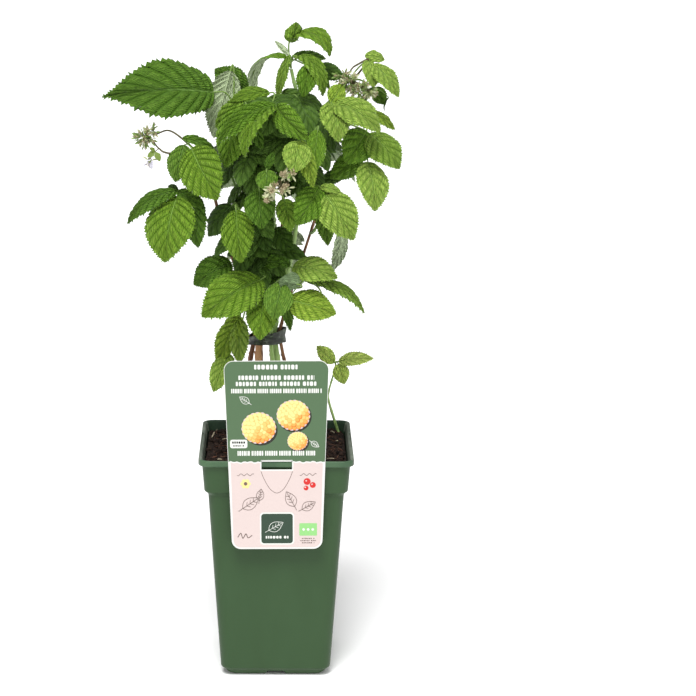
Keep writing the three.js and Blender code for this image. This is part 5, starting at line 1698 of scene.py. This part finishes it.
def stroke(store, line, width, level, kind):
    """A pen line of even width along points."""
    line = np.asarray(line, float)
    ahead = np.gradient(line, axis=0)
    ahead /= np.maximum(np.linalg.norm(ahead, axis=1), 1e-9)[:, None]
    across = np.stack([-ahead[:, 1], ahead[:, 0]], -1) * width / 2
    right, left = line - across, line + across
    for index in range(len(line) - 1):
        outline = [right[index], right[index + 1], left[index + 1], left[index]]
        inlay(store, outline, level, kind)


def curve(places, steps=12):
    return catmull_rom(places, steps * (len(places) - 1))


def half_at(height):
    """Half the label's width at a height."""
    share = (height - LABEL_BOTTOM) / (LABEL_TOP - LABEL_BOTTOM)
    return between((LABEL_HALF_BOTTOM, LABEL_HALF_TOP), share)


def label_end(top, inset):
    """The outline round the label's top or bottom, set in, in the order of its two corners."""
    hand, quarter = (1, 0) if top else (-1, 2)
    height = LABEL_TOP if top else LABEL_BOTTOM
    across = hand * (half_at(height) - LABEL_CORNER)
    middle = height - hand * LABEL_CORNER
    radius = LABEL_CORNER - inset
    first = quarter_arc(across, middle, radius, quarter, 8)
    return first + quarter_arc(-across, middle, radius, quarter + 1, 8)


def torn_edge(count=46):
    """The wavy border between the label's green and cream fields, from left to right."""
    half = half_at(PRINT_SPLIT) - GREEN_INSET
    places = []
    for step in range(count + 1):
        rise = 0.55 * math.sin(step * 1.9) + 0.35 * math.sin(step * 0.83)
        places.append((between((-half, half), step / count), PRINT_SPLIT + rise))
    return places


def print_fields(store):
    """The green and the cream field, with the window between them and a white line below it."""
    edge = torn_edge()
    left = [(x, z) for x, z in edge if x < -WINDOW_HALF - 1]
    right = [(x, z) for x, z in edge if x > WINDOW_HALF + 1]
    side_gap, top_gap = WINDOW_HALF + 0.4, WINDOW_HIGH + 0.4
    notch = [(-side_gap, PRINT_SPLIT), (-side_gap, top_gap), (side_gap, top_gap), (side_gap, PRINT_SPLIT)]
    inlay(store, [*label_end(True, GREEN_INSET), *left, *notch, *right], 2, LABEL_GREEN)
    half = half_at(PRINT_SPLIT) - CREAM_INSET
    lower_left = [(x, z - 1.4) for x, z in left[::-1] if x > -half]
    lower_right = [(x, z - 1.4) for x, z in right[::-1] if x < half]
    edge_half = WINDOW_HALF + 1
    below = [(edge_half, WINDOW_LOW - 1), (-edge_half, WINDOW_LOW - 1)]
    inlay(store, [*label_end(False, CREAM_INSET), *lower_right, *below, *lower_left], 2, CREAM)
    low, high = WINDOW_LOW - 1.2, WINDOW_LOW - 0.1
    line = [(-edge_half, low), (edge_half, low), (edge_half, high), (-edge_half, high)]
    inlay(store, line, 3, WHITE_INK)


def print_line(store, x, z, length, height, block, seed, kind):
    """A line of small plain blocks in groups, where such a label has its print."""
    draws = Draws(seed)
    at, end = x - length / 2, x + length / 2
    number = 0
    while at < end - 0.5:
        size = min(block * draws.between(0.7, 1.5), end - at)
        shape = rounded_box(at, z - height / 2, at + size, z + height / 2, min(size, height) * 0.35, 3)
        inlay(store, shape, 6, kind)
        number += 1
        at += size + block * (1.3 if number % 6 == 0 else 0.4)


def print_fruit(store, x, z, radius, seed, turn):
    """A round fruit of many small drupelets that overlap, pale at the upper left and deep at the right."""
    def spot(ring, degrees):
        angle = math.radians(turn + degrees)
        return math.cos(angle) * radius * ring, math.sin(angle) * radius * ring * FRUIT_SQUASH

    draws = Draws(seed)
    inlay(store, disc(x + 1.4, z - 1.7, radius * 1.04, 30, FRUIT_SQUASH, turn), 3, SHADE)
    ring, count = FRUIT_RINGS[0]
    for index in range(count):
        px, pz = spot(ring, 360 * index / count)
        inlay(store, disc(x + px, z + pz, radius * 0.185, 12), 3.5 + index % 2 * 0.5, CREAM)
    inlay(store, disc(x, z, radius * 0.9, 30, FRUIT_SQUASH, turn), 5, GOLD)
    for number, (ring, count) in enumerate(FRUIT_RINGS):
        for index in range(count):
            px, pz = spot(ring, 360 * (index + ring * 3) / count)
            depth = (px * 0.6 - pz * 0.9) / radius + draws.between(-0.3, 0.3)
            kind = YELLOW if depth < 0.15 else GOLD if depth < 0.6 else ORANGE
            size = radius * draws.between(0.14, 0.16)
            level = 6 + number * 4 + index % 2 * 2
            inlay(store, disc(x + px, z + pz, size, 12), level, kind + 1)
            inlay(store, disc(x + px - size * 0.12, z + pz + size * 0.12, size * 0.84, 12), level + 1, kind)


def print_leaf(store, x, z, length, turn, kind):
    """A line drawing of one leaf with its veins."""
    def place(ahead, aside):
        return placed(x, z, ahead * length, aside * length, turn)

    for hand in (-1, 1):
        shares = (0, 0.15, 0.35, 0.6, 0.82, 1)
        edge = [place(share, hand * 0.3 * math.sin(math.pi * share ** 0.8)) for share in shares]
        stroke(store, curve(edge, 4), 0.45, 6, kind)
        for share in (0.25, 0.45, 0.65):
            stroke(store, [place(share, 0), place(share + 0.14, hand * 0.16)], 0.35, 7, kind)
    stroke(store, [place(-0.25, 0), place(0.9, 0)], 0.4, 8, kind)


def print_small_things(store):
    """Red fruits, a blossom, pen lines and dots on the lower half."""
    tongue = [(-x, z) for x, z in TONGUE_EDGE] + [TONGUE_TIP] + TONGUE_EDGE[::-1]
    stroke(store, curve(tongue, 4), 0.5, 3, LINE_GREY)
    for x, z, radius in RED_FRUITS:
        inlay(store, disc(x, z, radius, 16), 4, RED)
        inlay(store, disc(x - 0.8, z + 0.8, 0.8, 8), 5, CREAM)
    for index in range(6):
        petal_place = placed(*BLOSSOM, 3.2, 0, index * 60)
        inlay(store, disc(*petal_place, 1.8, 12), 4 + index % 2, YELLOW)
    inlay(store, disc(*BLOSSOM, 1.8, 12), 6, LINE_GREY)
    for middle in (-30, 30):
        wave = [(middle + step, 216 + math.sin(step * 1.1)) for step in np.arange(-8, 8.5, 0.5)]
        stroke(store, wave, 0.5, 4, LINE_GREY)
    for x in (25.6, 30, 34.4):
        inlay(store, disc(x, 160.7, 1.3, 16), 6, WHITE_INK)
    stroke(store, curve(SQUIGGLE), 0.8, 4, LINE_GREY)


def make_label():
    store = Store()
    print_fields(store)
    for line in PRINT_LINES:
        print_line(store, *line)
    for *box, level, kind in PRINT_BOXES:
        inlay(store, rounded_box(*box), level, kind)
    for fruit in FRUITS:
        print_fruit(store, *fruit)
    for drawn in DRAWN_LEAVES:
        print_leaf(store, *drawn)
    print_small_things(store)
    lean = np.array([rotated(axis, vec(0, 1, 0), -LABEL_LEAN) for axis in np.eye(3)])
    for points in store.points:
        points[:] = points @ lean + vec(LABEL_CENTRE, 0, 0)
    skins = [card(name, ink) for name, ink in INKS]
    dress(store.object("label_print", skins, 30), "label_card")
    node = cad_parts["label"]
    node.data.materials.clear()
    node.data.materials.append(skins[CARD])


# ---------------------------------------------------------------- the whole

make_camera()
make_stage()
make_pot()
make_soil()
make_tie()
make_label()
make_plant()
